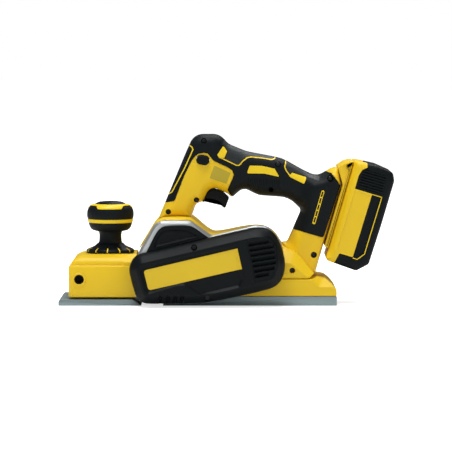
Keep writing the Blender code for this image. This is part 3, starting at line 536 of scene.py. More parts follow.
@dataclass(frozen=True)
class Finish:
    """A surface finish with a moulded or cast grain, and convex edges turned lighter: partly wear, partly a painted
    highlight.

    colour is linear RGB; the edge colour is what convex edges turn to, standing for rubbed edges and for painted
    highlight lines along lit edges.
    """

    name: str
    colour: tuple[float, float, float]
    wear_and_highlight_colour: tuple[float, float, float]
    roughness: float = 0.45
    metallic: float = 0.0
    grain: float = 900.0
    depth: float = 0.00004
    # strength of the edge mask: partly edge wear, partly painted highlight along edges
    wear: float = 0.3
    tint: float = 0.06
    coat: float = 0.0
    shine: float = 0.5
    brushed: bool = False
    stretch: tuple[float, float, float] = (1.0, 1.0, 1.0)

    def material(self) -> bpy.types.Material:
        """Return the finish's material, built once."""
        found = bpy.data.materials.get(self.name)
        if found:
            return found
        made = bpy.data.materials.new(self.name)
        made.use_nodes = True
        nodes, links = made.node_tree.nodes, made.node_tree.links
        shader = nodes["Principled BSDF"]
        shader.inputs["Metallic"].default_value = self.metallic
        shader.inputs["Coat Weight"].default_value = self.coat
        shader.inputs["Specular IOR Level"].default_value = self.shine
        shader.inputs["Coat Roughness"].default_value = 0.25
        grain, wear = nodes.new("ShaderNodeGroup"), nodes.new("ShaderNodeGroup")
        grain.node_tree, wear.node_tree = grain_group(), wear_and_highlight_group()
        grain.inputs["Scale"].default_value = self.grain
        wear.inputs["Amount"].default_value = self.wear
        shade, mix = nodes.new("ShaderNodeMix"), nodes.new("ShaderNodeMix")
        for node in (shade, mix):
            node.data_type = "RGBA"
        shade.inputs["A"].default_value = (*[c * (1.0 - self.tint) for c in self.colour], 1.0)
        shade.inputs["B"].default_value = (*[min(1.0, c * (1.0 + self.tint)) for c in self.colour], 1.0)
        # convex edges take the edge colour: partly wear, partly a painted highlight
        mix.inputs["B"].default_value = (*self.wear_and_highlight_colour, 1.0)
        links.new(grain.outputs["Tint"], shade.inputs["Factor"])
        links.new(shade.outputs["Result"], mix.inputs["A"])
        links.new(wear.outputs["Mask"], mix.inputs["Factor"])
        links.new(mix.outputs["Result"], shader.inputs["Base Color"])
        rough = nodes.new("ShaderNodeMath")
        rough.operation = "ADD"
        rough.inputs[1].default_value = self.roughness
        links.new(grain.outputs["Rough"], rough.inputs[0])
        links.new(rough.outputs[0], shader.inputs["Roughness"])
        bump = nodes.new("ShaderNodeBump")
        bump.inputs["Strength"].default_value = 0.6
        bump.inputs["Distance"].default_value = self.depth
        height = self._brushing(nodes, links) if self.brushed else grain.outputs["Height"]
        links.new(height, bump.inputs["Height"])
        links.new(bump.outputs["Normal"], shader.inputs["Normal"])
        return made

    def _brushing(self, nodes: bpy.types.Nodes, links: bpy.types.NodeLinks) -> bpy.types.NodeSocket:
        """Return a height socket of fine lines drawn out along one axis."""
        place, mapping = nodes.new("ShaderNodeTexCoord"), nodes.new("ShaderNodeMapping")
        lines = nodes.new("ShaderNodeTexNoise")
        mapping.inputs["Scale"].default_value = self.stretch
        lines.inputs["Scale"].default_value = 1500.0
        lines.inputs["Detail"].default_value = 3.0
        links.new(place.outputs["Object"], mapping.inputs["Vector"])
        links.new(mapping.outputs["Vector"], lines.inputs["Vector"])
        return lines.outputs["Fac"]


YELLOW = Finish("yellow_nylon_finish", (0.80, 0.535, 0.012), (0.86, 0.64, 0.10), 0.44, wear=0.25, shine=0.3)
YELLOW_TRIM = Finish("yellow_trim_finish", (0.86, 0.61, 0.012), (0.90, 0.70, 0.15), 0.38, grain=1400.0,
                     shine=0.3)
PLATE = Finish("bare_plate_finish", (0.72, 0.50, 0.022), (0.80, 0.60, 0.1), 0.5, grain=1600.0, depth=0.00001,
               shine=0.25)
STICKER = Finish("bare_sticker_finish", (0.47, 0.365, 0.035), (0.5, 0.4, 0.1), 0.55, grain=2000.0,
                 depth=0.00001, shine=0.2)
# black's lighter edge colour and strong edge mask paint the highlight lines along its lit edges; its shine is kept
# low
BLACK = Finish("black_nylon_finish", (0.0055, 0.0075, 0.0085), (0.05, 0.06, 0.065), 0.42, wear=0.5,
               depth=0.00005, shine=0.1)
RUBBER = Finish("black_rubber_finish", (0.006, 0.0085, 0.0098), (0.04, 0.05, 0.053), 0.52, grain=1300.0,
                depth=0.00006, wear=0.35, shine=0.12)
SOFT_GREY = Finish("grip_zone_finish", (0.014, 0.019, 0.021), (0.05, 0.06, 0.064), 0.5, grain=1300.0,
                   depth=0.00006, shine=0.35)
SOLE = Finish("sole_aluminium_finish", (0.27, 0.345, 0.36), (0.62, 0.66, 0.67), 0.38, 0.55, wear=0.5,
              depth=0.00003, brushed=True, stretch=(0.02, 1.0, 1.0))
CASTING = Finish("frame_casting_finish", (0.52, 0.55, 0.56), (0.8, 0.8, 0.8), 0.33, 0.75, grain=700.0,
                 depth=0.00003)
STEEL = Finish("steel_finish", (0.32, 0.33, 0.34), (0.6, 0.6, 0.6), 0.3, 1.0, depth=0.00002, brushed=True,
               stretch=(1.0, 0.05, 1.0))
DARK_STEEL = Finish("screw_finish", (0.02, 0.022, 0.024), (0.1, 0.1, 0.1), 0.35, 0.6, depth=0.00002)
COPPER = Finish("winding_finish", (0.45, 0.18, 0.07), (0.6, 0.3, 0.12), 0.4, 1.0)
BRASS = Finish("brass_finish", (0.62, 0.45, 0.18), (0.8, 0.6, 0.3), 0.32, 1.0)
BELT = Finish("belt_finish", (0.012, 0.012, 0.012), (0.03, 0.03, 0.03), 0.8)
# painted shade: near-black colour for the insides of wells, bores and gaps
PAINTED_SHADE_HOLLOW = Finish("painted_shade_hollow_finish", (0.002, 0.002, 0.0022), (0.002, 0.002, 0.002), 0.9, wear=0.0)


def finish_of(slot: str) -> Finish:
    """Return the finish that a CAD node of a material slot wears."""
    return {"yellow_nylon": YELLOW, "black_nylon": BLACK, "black_rubber": RUBBER, "sole_aluminium": SOLE,
            "frame_casting": CASTING, "plain_steel": STEEL, "threaded_brass": BRASS,
            "motor_windings": COPPER, "belt_rubber": BELT}[slot]


def ribbon(line: Sequence[Point], width: float) -> np.ndarray:
    """Return a line widened to a closed outline."""
    points = resample(np.array(line, float), 2.0, False)
    return np.concatenate([offset(points, width / 2.0, False), offset(points, -width / 2.0, False)[::-1]])


def swell(depth: np.ndarray, width: float | np.ndarray, radius: float | np.ndarray,
          power: float = 2.0) -> np.ndarray:
    """Return the height of a rounded flank at a distance from its silhouette."""
    share = 1.0 - np.clip(depth / radius, 0.0, 1.0)
    return width * (1.0 - share ** power) ** (1.0 / power)


def step_up(spots: np.ndarray, outline: np.ndarray, rise: float, run: float) -> np.ndarray:
    """Return a raised (or sunk) area's height, with a rounded step along its outline."""
    signed = distance(spots, outline) * np.where(inside(spots, outline), 1.0, 0.0)
    return rise * np.sqrt(1.0 - (1.0 - np.clip(signed / run, 0.0, 1.0)) ** 2)


def chamfer(spots: np.ndarray, outline: np.ndarray, rise: float, run: float) -> np.ndarray:
    """Return a raised (or sunk) area's height, with a flat bevel along its outline."""
    return np.where(inside(spots, outline), rise * np.clip(distance(spots, outline) / run, 0.0, 1.0), 0.0)


def groove(spots: np.ndarray, line: np.ndarray, sink: float, half: float, closed: bool = True) -> np.ndarray:
    """Return a narrow groove's depth along a line."""
    return sink * (1.0 - smooth(distance(spots, line, closed) / half))


def blend(low: float, high: float, value: np.ndarray) -> np.ndarray:
    """Return a smooth 0 to 1 change as the value goes from low to high."""
    return smooth((value - low) / (high - low))


def screw_cup(name: str, x: float, z: float, radius: float, rim: float, floor: float, finish: Finish,
              side: Side, matrix: Matrix | None = None) -> bpy.types.Object:
    """Build the round well that a screw sits in, from its rim down to its floor (depths along Y)."""
    verts = []
    profile = ((radius, rim), (radius - 0.35, rim - 0.5), (radius - 0.5, floor + 0.6), (radius - 0.9, floor),
               (0.4, floor))
    count = 28
    for r, height in profile:
        for px, pz in circle(x, z, r, count):
            verts.append((px, height * side.value, pz))
    faces = [face if side is Side.LEFT else face[::-1] for face in ring_faces(len(profile), count)]
    faces.append(list(range(4 * count, 5 * count)))
    return make_object(name, verts, faces, finish, 40.0, matrix)


# ---------------------------------------------------------------- handle and casings

GRIP_BORDER = ((-91.7, 107.4), (-82.5, 109.4), (-81.2, 110.8), (-71.0, 137.4), (-63.4, 152.3),
               (-60.1, 157.0), (-56.0, 159.8), (-50.5, 160.8), (-46.5, 160.1), (-43.7, 157.0),
               (-40.3, 152.4), (-24.1, 144.7), (-20.4, 142.0), (-18.7, 137.6), (-19.9, 133.3),
               (-24.1, 124.3), (-25.3, 121.0), (-23.7, 117.6), (-20.6, 113.8))
PAD_BORDER = ((43.0, 78.9), (51.6, 77.9), (58.9, 75.8), (74.6, 71.3), (76.0, 71.2), (77.4, 72.4),
              (94.8, 125.6), (92.6, 129.8), (85.6, 139.3), (78.2, 141.1))


def button_oval(grow: float) -> np.ndarray:
    """Return the lock button's outline, widened by grow."""
    tilt = radians(-10.0)
    wide, high = 6.8 + grow, 4.9 + grow
    oval = rounded([(-wide, -high, high - 0.3), (wide, -high, high - 0.3), (wide, high, high - 0.3),
                    (-wide, high, high - 0.3)], 12.0)
    spin = np.array([(cos(tilt), sin(tilt)), (-sin(tilt), cos(tilt))])
    return oval @ spin + np.array(LOCK_BUTTON)


@dataclass
class Handle:
    """The arch of column, grip and foot: yellow shells with the rubber skins let into them."""

    grip_width: float = 18.6
    column_width: float = 20.6
    foot_width: float = 27.6
    skin_rise: float = 0.6
    screws: tuple[Point, ...] = ((-50.5, 173.6), (-58.4, 110.4), (-88.4, 97.8), (28.5, 148.6),
                                 (84.1, 133.6), (66.6, 52.4), (21.2, 121.3))
    line_width: float = 1.15

    def outline(self) -> np.ndarray:
        """Return the silhouette, open round the hand hole."""
        return rounded([
            (-99.4, 90.0, 0.0), (-92.4, 106.8, 30.0), (-71.6, 156.6, 60.0), (-61.2, 180.2, 15.0),
            (-34.0, 180.4, 16.0), (-24.0, 169.6, 14.0), (-5.0, 161.8, 40.0), (33.0, 154.6, 40.0),
            (56.0, 141.8, 40.0), (70.5, 135.0, 16.0), (84.0, 143.0, 8.0), (93.2, 146.4, 4.0),
            (96.6, 127.0, 14.0), (76.8, 60.0, 10.0), (69.4, 33.6, 0.0), (61.4, 28.3, 0.0),
            (33.4, 28.3, 0.0), (33.4, 64.9, 0.0), (38.5, 65.0, 6.0), (44.4, 78.0, 20.0),
            (53.6, 99.4, 5.0), (40.0, 112.4, 30.0), (8.0, 114.6, 20.0), (-8.5, 122.8, 9.0),
            (-20.6, 112.0, 3.0), (-25.6, 116.6, 4.0), (-43.0, 124.6, 8.0), (-51.4, 108.0, 4.0),
            (-58.6, 105.8, 6.0), (-64.5, 90.0, 0.0)], 9.0)

    def grip_area(self) -> np.ndarray:
        """Return the rubber's outline, drawn past the silhouette where it wraps round."""
        around = [(-14.0, 104.0), (24.0, 92.0), (36.0, 79.4)]
        over = [(78.0, 156.0), (40.0, 172.0), (-20.0, 190.0), (-66.0, 190.0), (-104.0, 130.0),
                (-103.0, 106.2)]
        return np.array([*GRIP_BORDER, *around, *PAD_BORDER, *over])

    def tags(self) -> list[np.ndarray]:
        """Return the three bare yellow tags let into the rubber."""
        return [
            rounded([(-29.7, 168.2, 1.2), (-25.7, 162.2, 0.8), (-28.6, 155.4, 1.2), (-34.0, 155.2, 1.2),
                     (-36.4, 158.6, 1.2)]),
            rounded([(-4.9, 138.8, 1.6), (-1.6, 147.2, 1.8), (11.4, 146.8, 0.0), (25.0, 143.8, 2.0),
                     (29.9, 135.0, 0.6), (14.0, 138.6, 0.0)]),
            rounded([(40.3, 135.4, 1.2), (43.4, 139.6, 1.4), (59.0, 134.5, 1.2), (56.4, 127.4, 1.2)])]

    def lines(self) -> list[np.ndarray]:
        """Return the thin yellow inlay lines."""
        return [ribbon(line, self.line_width) for line in (
            ((-66.0, 168.4), (-63.2, 166.8), (-62.0, 164.5), (-71.0, 144.5), (-84.6, 118.8), (-89.6, 115.6)),
            ((-34.0, 155.9), (-31.0, 154.8), (-15.6, 147.4), (-12.9, 147.4), (-8.7, 152.2), (-4.3, 155.6),
             (0.0, 156.3), (11.0, 155.2), (22.0, 153.4), (24.8, 154.2), (26.2, 156.6)),
            ((37.4, 152.6), (35.7, 145.8), (37.1, 142.0), (41.2, 136.6)))]

    def pale_areas(self) -> list[np.ndarray]:
        """Return the areas above the inlay lines, coloured a lighter grey than the rest of the grip."""
        return [
            np.array([(-34.0, 156.4), (-31.0, 155.4), (-15.4, 148.0), (-13.1, 148.0), (-9.0, 152.6),
                      (-4.5, 156.2), (0.0, 156.9), (11.0, 155.8), (22.0, 154.0), (24.4, 154.7), (26.6, 158.4),
                      (20.0, 170.0), (-24.0, 182.0), (-31.0, 170.0), (-28.9, 168.2), (-25.0, 162.2),
                      (-28.2, 154.9)]),
            np.array([(37.8, 154.0), (36.4, 145.8), (37.7, 142.2), (41.2, 137.4), (43.2, 140.3),
                      (60.0, 135.2), (72.0, 131.0), (74.0, 146.0), (40.0, 168.0)])]

    def crossbars(self) -> np.ndarray:
        """Return the ladder-like mark on the foot as a narrow upright plate."""
        return rounded([(74.9, 121.6, 1.5), (78.1, 120.7, 1.5), (67.8, 84.8, 1.5), (64.6, 85.7, 1.5)])

    def windows(self) -> list[np.ndarray]:
        """Return the rubber windows between the mark's crossbars."""
        top, bottom = np.array([76.2, 120.4]), np.array([66.5, 86.5])
        along = (bottom - top) / np.linalg.norm(bottom - top)
        across = np.array([-along[1], along[0]]) * 0.85
        cells = []
        for index in range(5):
            first = top + (bottom - top) * (index + 0.09) / 5.0
            last = top + (bottom - top) * (index + 0.91) / 5.0
            cells.append(np.array([first - across, first + across, last + across, last - across]))
        return cells

    def well_radius(self, x: float) -> float:
        """Return the radius of the screw well at x: a little wider on the foot."""
        return 3.0 if x < 60.0 else 3.3

    def sticker(self) -> np.ndarray:
        """Return the bare rating sticker's outline."""
        return rounded([(-39.4, 147.4, 1.2), (-21.9, 139.3, 1.2), (-26.4, 127.4, 1.2), (-44.4, 133.9, 1.2)])

    def height(self, spots: np.ndarray, depth: np.ndarray) -> np.ndarray:
        """Return the flank's distance from the middle plane."""
        x, z = spots[:, 0], spots[:, 1]
        foot = blend(46.0, 62.0, x - 0.28 * (z - 100.0)) * blend(150.0, 134.0, z)
        low = blend(40.0, 48.0, x) * blend(92.0, 70.0, z)
        foot = np.maximum(foot, low)
        rear = distance(spots, np.array([(93.2, 146.4), (96.6, 127.0), (76.8, 60.0), (69.4, 33.6)]), False)
        depth = depth * (1.0 + 3.0 * foot * blend(12.0, 5.0, rear))
        column = blend(-24.0, -44.0, x)
        width = self.grip_width + (self.column_width - self.grip_width) * column
        width = width + (self.foot_width - width) * foot
        radius = 13.0 - 2.0 * column + 1.5 * foot
        body = swell(depth, width, radius, 2.25)
        area = self.grip_area()
        inward = inside(spots, area)
        near = distance(spots, area)
        body = body + np.where(inward, step_up(spots, area, self.skin_rise, 0.7), 0.0)
        body = body - np.where(~inward, 0.35 * (1.0 - smooth(near / 0.5)), 0.0)
        for tag in self.tags():
            body = body + step_up(spots, tag, 0.35, 0.5)
        for line in self.lines():
            body = body - step_up(spots, line, 0.12, 0.3)
        body = body + step_up(spots, self.sticker(), 0.12, 0.15)
        body = body + step_up(spots, self.crossbars(), 0.3, 0.4)
        body = body - groove(spots, np.array([(70.7, 136.0), (65.9, 127.5), (61.2, 112.3), (53.7, 81.8),
                                              (53.0, 77.6)]), 0.9, 1.2, False)
        body = body - groove(spots, np.array([(-45.1, 149.5), (-47.9, 144.7), (-67.0, 93.3)]), 0.5, 1.6,
                             False)
        ribs = (np.abs((x + 0.06 * z) % 2.34 - 1.17) / 1.17) ** 2
        zone = blend(-7.0, -4.0, x) * blend(35.0, 31.0, x) * blend(119.6, 121.2, z + 0.06 * x)
        zone = zone * blend(135.2, 133.4, z + 0.06 * x)
        body = body - 0.75 * ribs * zone
        return np.where(depth < 1e-6, 0.0, np.maximum(body, 0.02))

    def build(self, side: Side) -> None:
        """Build one half with its skins, inlays, tags and screw wells."""
        word = side.word
        holes = [circle(x, z, self.well_radius(x), 24) for x, z in self.screws]
        holes.append(button_oval(0.4))
        regions = {"grip": self.grip_area()}
        names = {"rest": (f"handle_casing_{word}", YELLOW), "grip": (f"handle_rubber_{word}", RUBBER),
                 "sticker": (f"rating_sticker_{word}", STICKER), "bars": (f"foot_mark_{word}", YELLOW_TRIM)}
        for index, area in enumerate(self.pale_areas(), start=1):
            regions[f"pale_{index}"] = area
            names[f"pale_{index}"] = (f"grip_top_{index}_{word}", SOFT_GREY)
        for index, line in enumerate(self.lines(), start=1):
            regions[f"line_{index}"] = line
            names[f"line_{index}"] = (f"inlay_line_{index}_{word}", YELLOW_TRIM)
        for index, tag in enumerate(self.tags(), start=1):
            regions[f"tag_{index}"] = tag
            names[f"tag_{index}"] = (f"bare_tag_{index}_{word}", YELLOW_TRIM)
        regions["sticker"] = self.sticker()
        regions["bars"] = self.crossbars()
        for index, cell in enumerate(self.windows()):
            regions[f"grip#{index}"] = cell
        ribs = [np.array([(-4.0 + 1.17 * k, 121.5), (-4.6 + 1.17 * k, 133.4)]) for k in range(31)]
        relief = Relief(self.outline(), self.height, regions, ribs, holes, side=side, pitch=2.5,
                        rings=(0.12, 0.4, 0.9, 1.6, 2.6, 4.0, 5.8, 8.0, 10.4))
        made = relief.build(names)
        for region, piece in made.items():
            nodes = [f"handle_shell_{word}"] if region == "rest" else []
            nodes += [f"grip_skin_{word}", f"foot_pad_{word}"] if region == "grip" else []
            settle(piece, "root", nodes)
        for index, (hole, (x, z)) in enumerate(zip(holes, self.screws), start=1):
            rim = float(np.min(self.height(hole, distance(hole, self.outline()))))
            # painted shade: the well's inside is lined near-black
            cup = screw_cup(f"screw_well_{index}_{word}", x, z, self.well_radius(x), rim, rim - 8.5,
                            PAINTED_SHADE_HOLLOW, side)
            settle(cup, "root")


@dataclass
class MotorHousing:
    """The yellow lower casing: a saddle over the casting and the motor's bulge behind it."""

    rim: float = 3.2
    screw: Point = (43.2, 37.1)
    shoulder: tuple[Point, ...] = ((36.1, 45.4), (42.2, 44.6), (45.0, 42.8), (61.6, 27.8))

    def outline(self) -> np.ndarray:
        """Return the casing's outline, seen from the side."""
        return np.concatenate([smoothed([
            (-119.6, 58.6), (-119.6, 58.6), (-111.4, 72.0), (-104.6, 83.4), (-98.6, 90.4), (-91.5, 92.8),
            (-66.0, 92.8), (-60.4, 89.6), (-49.0, 79.2), (-41.0, 74.0), (-33.0, 74.6), (-8.0, 79.8),
            (6.0, 81.4), (16.0, 80.0), (26.0, 74.0), (34.0, 61.0), (38.6, 58.6), (46.0, 57.0), (52.0, 51.0),
            (66.4, 33.8), (66.4, 33.8)], 2, False), np.array([
                (60.8, 28.3), (10.0, 28.3), (10.0, 21.0), (-44.5, 21.0), (-44.5, 72.0), (-61.3, 86.7),
                (-66.6, 89.1), (-92.2, 88.9), (-101.6, 82.6), (-107.2, 75.2)])])

    def height(self, spots: np.ndarray, depth: np.ndarray, wall: float) -> np.ndarray:
        """Return the flank's distance from the middle plane."""
        x, z = spots[:, 0], spots[:, 1]
        flat = np.array([(20.0, 20.0), (20.0, 46.0), *self.shoulder, (62.0, 20.0)])
        beyond = np.where(inside(spots, flat), 0.0, distance(spots, flat))
        bulge = blend(-44.0, -30.0, x) * (z > 50.0)
        rim = self.rim + 10.0 * bulge
        base = wall - rim + swell(depth, rim, self.rim + 3.0 * bulge)
        softened = np.minimum(base, wall - 0.95 * beyond)
        seam = np.array([(31.0, 28.0), (62.0, 28.0)])
        softened = softened - groove(spots, seam, 0.8, 0.6, False)
        return np.where((x > 31.5) & (z > 20.0), softened, base)

    def vents(self, side: Side) -> list[np.ndarray]:
        """Return the two columns of cooling slots, which only the right side shows."""
        if side is Side.LEFT:
            return []
        slots = []
        for x in (-9.0, 23.0):
            for index in range(5):
                z = 35.0 + 7.0 * index
                slots.append(rounded([(x, z - 1.4, 1.2), (x + 6.0, z - 1.4, 1.2), (x + 6.0, z + 1.4, 1.2),
                                      (x, z + 1.4, 1.2)], 30.0))
        return slots

    def build(self, side: Side) -> None:
        """Build one half of the housing."""
        wall = WALLS[side]
        hole = circle(*self.screw, 3.4, 26)
        relief = Relief(self.outline(), lambda spots, depth: self.height(spots, depth, wall),
                        seams=[np.array([(32.0, 45.6), *self.shoulder])],
                        holes=[hole, *self.vents(side)], side=side, pitch=3.2, rings=(0.3, 0.9, 1.8, 3.1),
                        wall=down_to(0.0))
        made = relief.build({"rest": (f"motor_housing_{side.word}", YELLOW)})
        settle(made["rest"], "root", [f"handle_shell_{side.word}"])
        cup = screw_cup(f"housing_screw_well_{side.word}", *self.screw, 3.4, wall, wall - 9.0, YELLOW, side)
        settle(cup, "root")
        head = turned(f"housing_screw_{side.word}",
                      [(0.05, 6.0), (2.6, 6.0), (2.6, 7.4), (2.0, 8.3), (1.2, 8.3), (1.2, 7.0), (0.05, 7.0)],
                      DARK_STEEL, "Y", (self.screw[0], 0.0, self.screw[1]), 18)
        head.data.transform(Matrix.Translation((0.0, (wall - 15.0) * MM, 0.0)))
        put_on(side, head)
        settle(head, "root")


@dataclass
class RearBase:
    """The low yellow housing on the rear shoe, with its lit bevel band round the tail."""

    def build(self) -> None:
        """Build both flanks."""
        tail = [(90.4, 10.0, 1.0), (90.4, 16.3, 3.0), (84.6, 23.4, 4.0), (79.0, 28.0, 3.0), (70.6, 29.6, 2.0),
                (61.4, 27.9, 0.0), (12.0, 27.9, 1.0), (12.0, 20.6, 0.0)]
        noses = {Side.LEFT: [(-64.0, 20.6, 1.0), (-64.0, 10.0, 0.0)],
                 Side.RIGHT: [(-45.2, 20.6, 0.0), (-45.2, 32.4, 0.6), (-72.4, 10.6, 0.4), (-72.0, 10.0, 0.0)]}
        flat = np.array([(-70.0, 5.0), (95.0, 5.0), (95.0, 19.0), (87.6, 19.4), (71.4, 19.8), (62.6, 27.4),
                         (62.4, 33.0), (-70.0, 33.0)])
        for side, wall in WALLS.items():
            def height(spots: np.ndarray, depth: np.ndarray, wall: float = wall) -> np.ndarray:
                base = wall - 1.0 + swell(depth, 1.0, 1.0)
                beyond = np.where(inside(spots, flat), 0.0, distance(spots, flat))
                return np.minimum(base, wall - 0.95 * beyond)
            relief = Relief(rounded(tail + noses[side]), height,
                            seams=[np.array([(62.4, 30.0), (62.6, 27.4), (71.4, 19.8), (87.6, 19.4),
                                             (90.4, 19.2)])],
                            side=side, pitch=3.0, rings=(0.3, 1.0, 2.2), wall=down_to(0.0))
            made = relief.build({"rest": (f"rear_base_{side.word}", YELLOW)})
            settle(made["rest"], "root", ["rear_base_housing"])


# ---------------------------------------------------------------- front end

@dataclass
class FrontHousing:
    """The yellow housing over the front shoe: flat flanks, a stepped shoulder and a domed top."""

    front: float = -194.0
    rear: float = -122.0
    half: float = 44.0
    flare_start: float = -136.6
    flare_end: float = -134.6
    levels: tuple[tuple[float, float, float], ...] = (
        (8.6, 1.0, 4.0), (8.9, 0.3, 4.6), (9.8, 0.0, 5.0), (40.4, 0.0, 5.0), (41.1, 0.25, 5.0),
        (41.4, 0.9, 4.6), (41.6, 2.9, 4.0), (42.2, 3.4, 4.0), (43.6, 3.4, 4.2), (45.6, 3.7, 4.4),
        (47.4, 4.6, 5.0), (49.3, 6.4, 6.0), (50.9, 9.0, 7.0), (52.3, 12.4, 8.0), (53.2, 15.2, 9.0), (53.5, 16.6, 9.0),
        (53.4, 17.2, 9.0), (52.5, 17.5, 9.0), (52.4, 27.0, 9.0))

    def ring(self, inset: float, corner: float) -> list[Point]:
        """Return a ring in plan: flared to the casting at the rear, with rounded front corners."""
        left, low, high = self.front + inset, -self.half + inset, self.half - inset
        flare = inset if inset > 4.0 else min(inset, 0.8)
        flare_low, flare_high = -self.half + flare, self.half - flare
        points = [(self.rear, flare_low), (self.flare_end, flare_low), (self.flare_start, low),
                  (left + corner + 20.0, low)]
        for start in (270.0, 180.0):
            for index in range(9):
                angle = radians(start - 11.25 * index)
                middle = low + corner if start > 200.0 else high - corner
                points.append((left + corner + corner * cos(angle), middle + corner * sin(angle)))
        points += [(left + corner + 20.0, high), (self.flare_start, high), (self.flare_end, flare_high),
                   (self.rear, flare_high)]
        return points

    def build(self) -> None:
        """Build the shell, the fence bosses, and near-black bores painted as shade in place of the threaded inserts.
        """
        rings = [self.ring(inset, corner) for _, inset, corner in self.levels]
        verts = [(x, y, level[0]) for level, ring in zip(self.levels, rings) for x, y in ring]
        count = len(rings[0])
        faces = ring_faces(len(rings), count)
        faces += [tuple(range(len(verts) - count, len(verts))), tuple(range(count))]
        shell = make_object("front_housing_shell", verts, faces, YELLOW, 32.0)
        face_outwards(shell)
        for side in Side:
            bore = turned("bore_cutter", [(0.1, 36.0), (5.3, 36.0), (5.3, 50.0), (0.1, 50.0)], YELLOW, "Y",
                          FENCE_AXIS, 40)
            put_on(side, bore)
            face_outwards(bore)
            carve(shell, bore)
        sweep = turned("drum_room", [(0.1, -41.6), (25.0, -41.6), (25.0, 41.6), (0.1, 41.6)], YELLOW, "Y",
                       DRUM_AXIS, 48)
        face_outwards(sweep)
        carve(shell, sweep)
        shell.data.set_sharp_from_angle(angle=radians(32.0))
        settle(shell, "root", ["front_housing"])
        for side in Side:
            ring = turned(f"fence_boss_{side.word}",
                          [(5.2, 38.0), (5.2, 44.8), (5.5, 45.1), (6.8, 45.1), (7.3, 44.7), (7.5, 43.6)],
                          YELLOW, "Y", FENCE_AXIS, 40, caps=False)
            # painted shade: a near-black bore lining in place of the brass insert
            hole = turned(f"fence_bore_{side.word}",
                          [(0.05, 36.4), (3.9, 36.4), (3.9, 42.2), (4.3, 42.7), (5.15, 42.8)], PAINTED_SHADE_HOLLOW, "Y",
                          FENCE_AXIS, 40, caps=False)
            put_on(side, ring)
            put_on(side, hole)
            settle(ring, "root")
            settle(hole, "root", [f"fence_insert_{side.word}"])


@dataclass
class DepthKnob:
    """The cutting-depth knob: ticked dial, rubber neck and bands, and the scalloped yellow crown."""

    x: float = -151.0
    ticks: int = 12

    def _spin(self, name: str, profile: Sequence[Point], finish: Finish, nodes: Sequence[str],
              wave: Callable[[float, float, float], Point] | None = None) -> None:
        """Spin one part of the knob and put it on the knob's body."""
        piece = turned(name, profile, finish, "Z", (self.x, 0.0, 0.0), 144, 32.0, wave)
        settle(piece, "depth_knob", nodes)

    def build(self) -> None:
        """Build the knob from the dial upwards."""
        self._spin("dial_skirt", [(13.2, 52.9), (24.4, 52.9), (25.2, 53.2), (25.7, 54.0), (25.7, 55.4),
                                  (25.2, 56.4), (24.0, 57.2), (18.4, 59.6), (16.2, 60.8), (14.2, 62.8),
                                  (13.4, 63.4), (5.0, 63.4)], BLACK, ["depth_dial"])
        self._spin("knob_waist", [(5.0, 63.6), (12.8, 63.6), (12.2, 65.0), (11.9, 68.0), (11.8, 72.0),
                                  (12.2, 74.6), (13.4, 76.0), (16.4, 76.6), (18.8, 77.2), (20.8, 78.8),
                                  (22.2, 81.0), (23.0, 83.4), (23.4, 85.4), (20.0, 85.5)],
                   RUBBER, ["knob_neck"])
        self._spin("knob_lower_band", [(20.0, 85.5), (23.4, 85.5), (23.9, 85.7), (24.1, 86.4), (24.4, 88.6),
                                       (24.2, 89.3), (23.6, 89.5), (20.0, 89.5)],
                   YELLOW_TRIM, ["knob_band_lower"])

        def grip_wave(radius: float, height: float, angle: float) -> Point:
            share = max(0.0, 1.0 - abs(height - 94.6) / 4.6)
            return radius - 0.2 * share * (0.5 + 0.5 * cos(24.0 * angle)), height

        self._spin("knob_finger_band", [(20.0, 89.5), (23.8, 89.5), (24.5, 89.9), (24.9, 91.2), (25.1, 93.0),
                                        (25.1, 95.4), (24.9, 97.4), (24.3, 99.4), (23.4, 101.0),
                                        (22.2, 102.5), (20.4, 103.8), (17.4, 104.7)],
                   RUBBER, ["knob_grip"], grip_wave)

        def crown_wave(radius: float, height: float, angle: float) -> Point:
            turn = abs((degrees(angle) + 90.0 + 60.0) % 120.0 - 60.0)
            notch = min(1.0, max(0.0, (turn - 32.0) / 10.0)) * max(0.0, (105.1 - height) / 4.9)
            return radius - 3.0 * notch, height + 3.5 * notch

        self._spin("knob_crown", [(21.0, 100.2), (23.6, 100.4), (23.9, 100.9), (23.5, 101.8), (22.4, 103.2),
                                  (20.8, 104.3), (18.6, 105.1), (15.6, 105.5)],
                   YELLOW_TRIM, ["knob_band_upper"], crown_wave)
        self._spin("knob_disc", [(16.4, 105.0), (16.2, 105.5), (15.6, 105.9), (13.6, 107.0), (11.8, 107.6),
                                 (11.2, 107.4), (10.6, 107.7), (8.0, 108.1), (0.02, 108.3)],
                   BLACK, ["knob_cap"])
        verts, faces = [], []
        mark = ((25.75, 54.2), (25.75, 55.4), (25.3, 56.5), (24.1, 57.3), (21.2, 58.6))
        for index in range(self.ticks):
            angle = radians(30.0 * index - 95.0)
            for half in (-1.0, 1.0):
                for radius, height in mark:
                    spin = angle + half * 0.62 / radius
                    verts.append((self.x + (radius + 0.06) * cos(spin), (radius + 0.06) * sin(spin),
                                  height + 0.08))
            first = index * 10
            faces += [(first + k, first + k + 1, first + k + 6, first + k + 5) for k in range(4)]
        ticks = make_object("dial_ticks", verts, faces, YELLOW_TRIM)
        settle(ticks, "depth_knob")


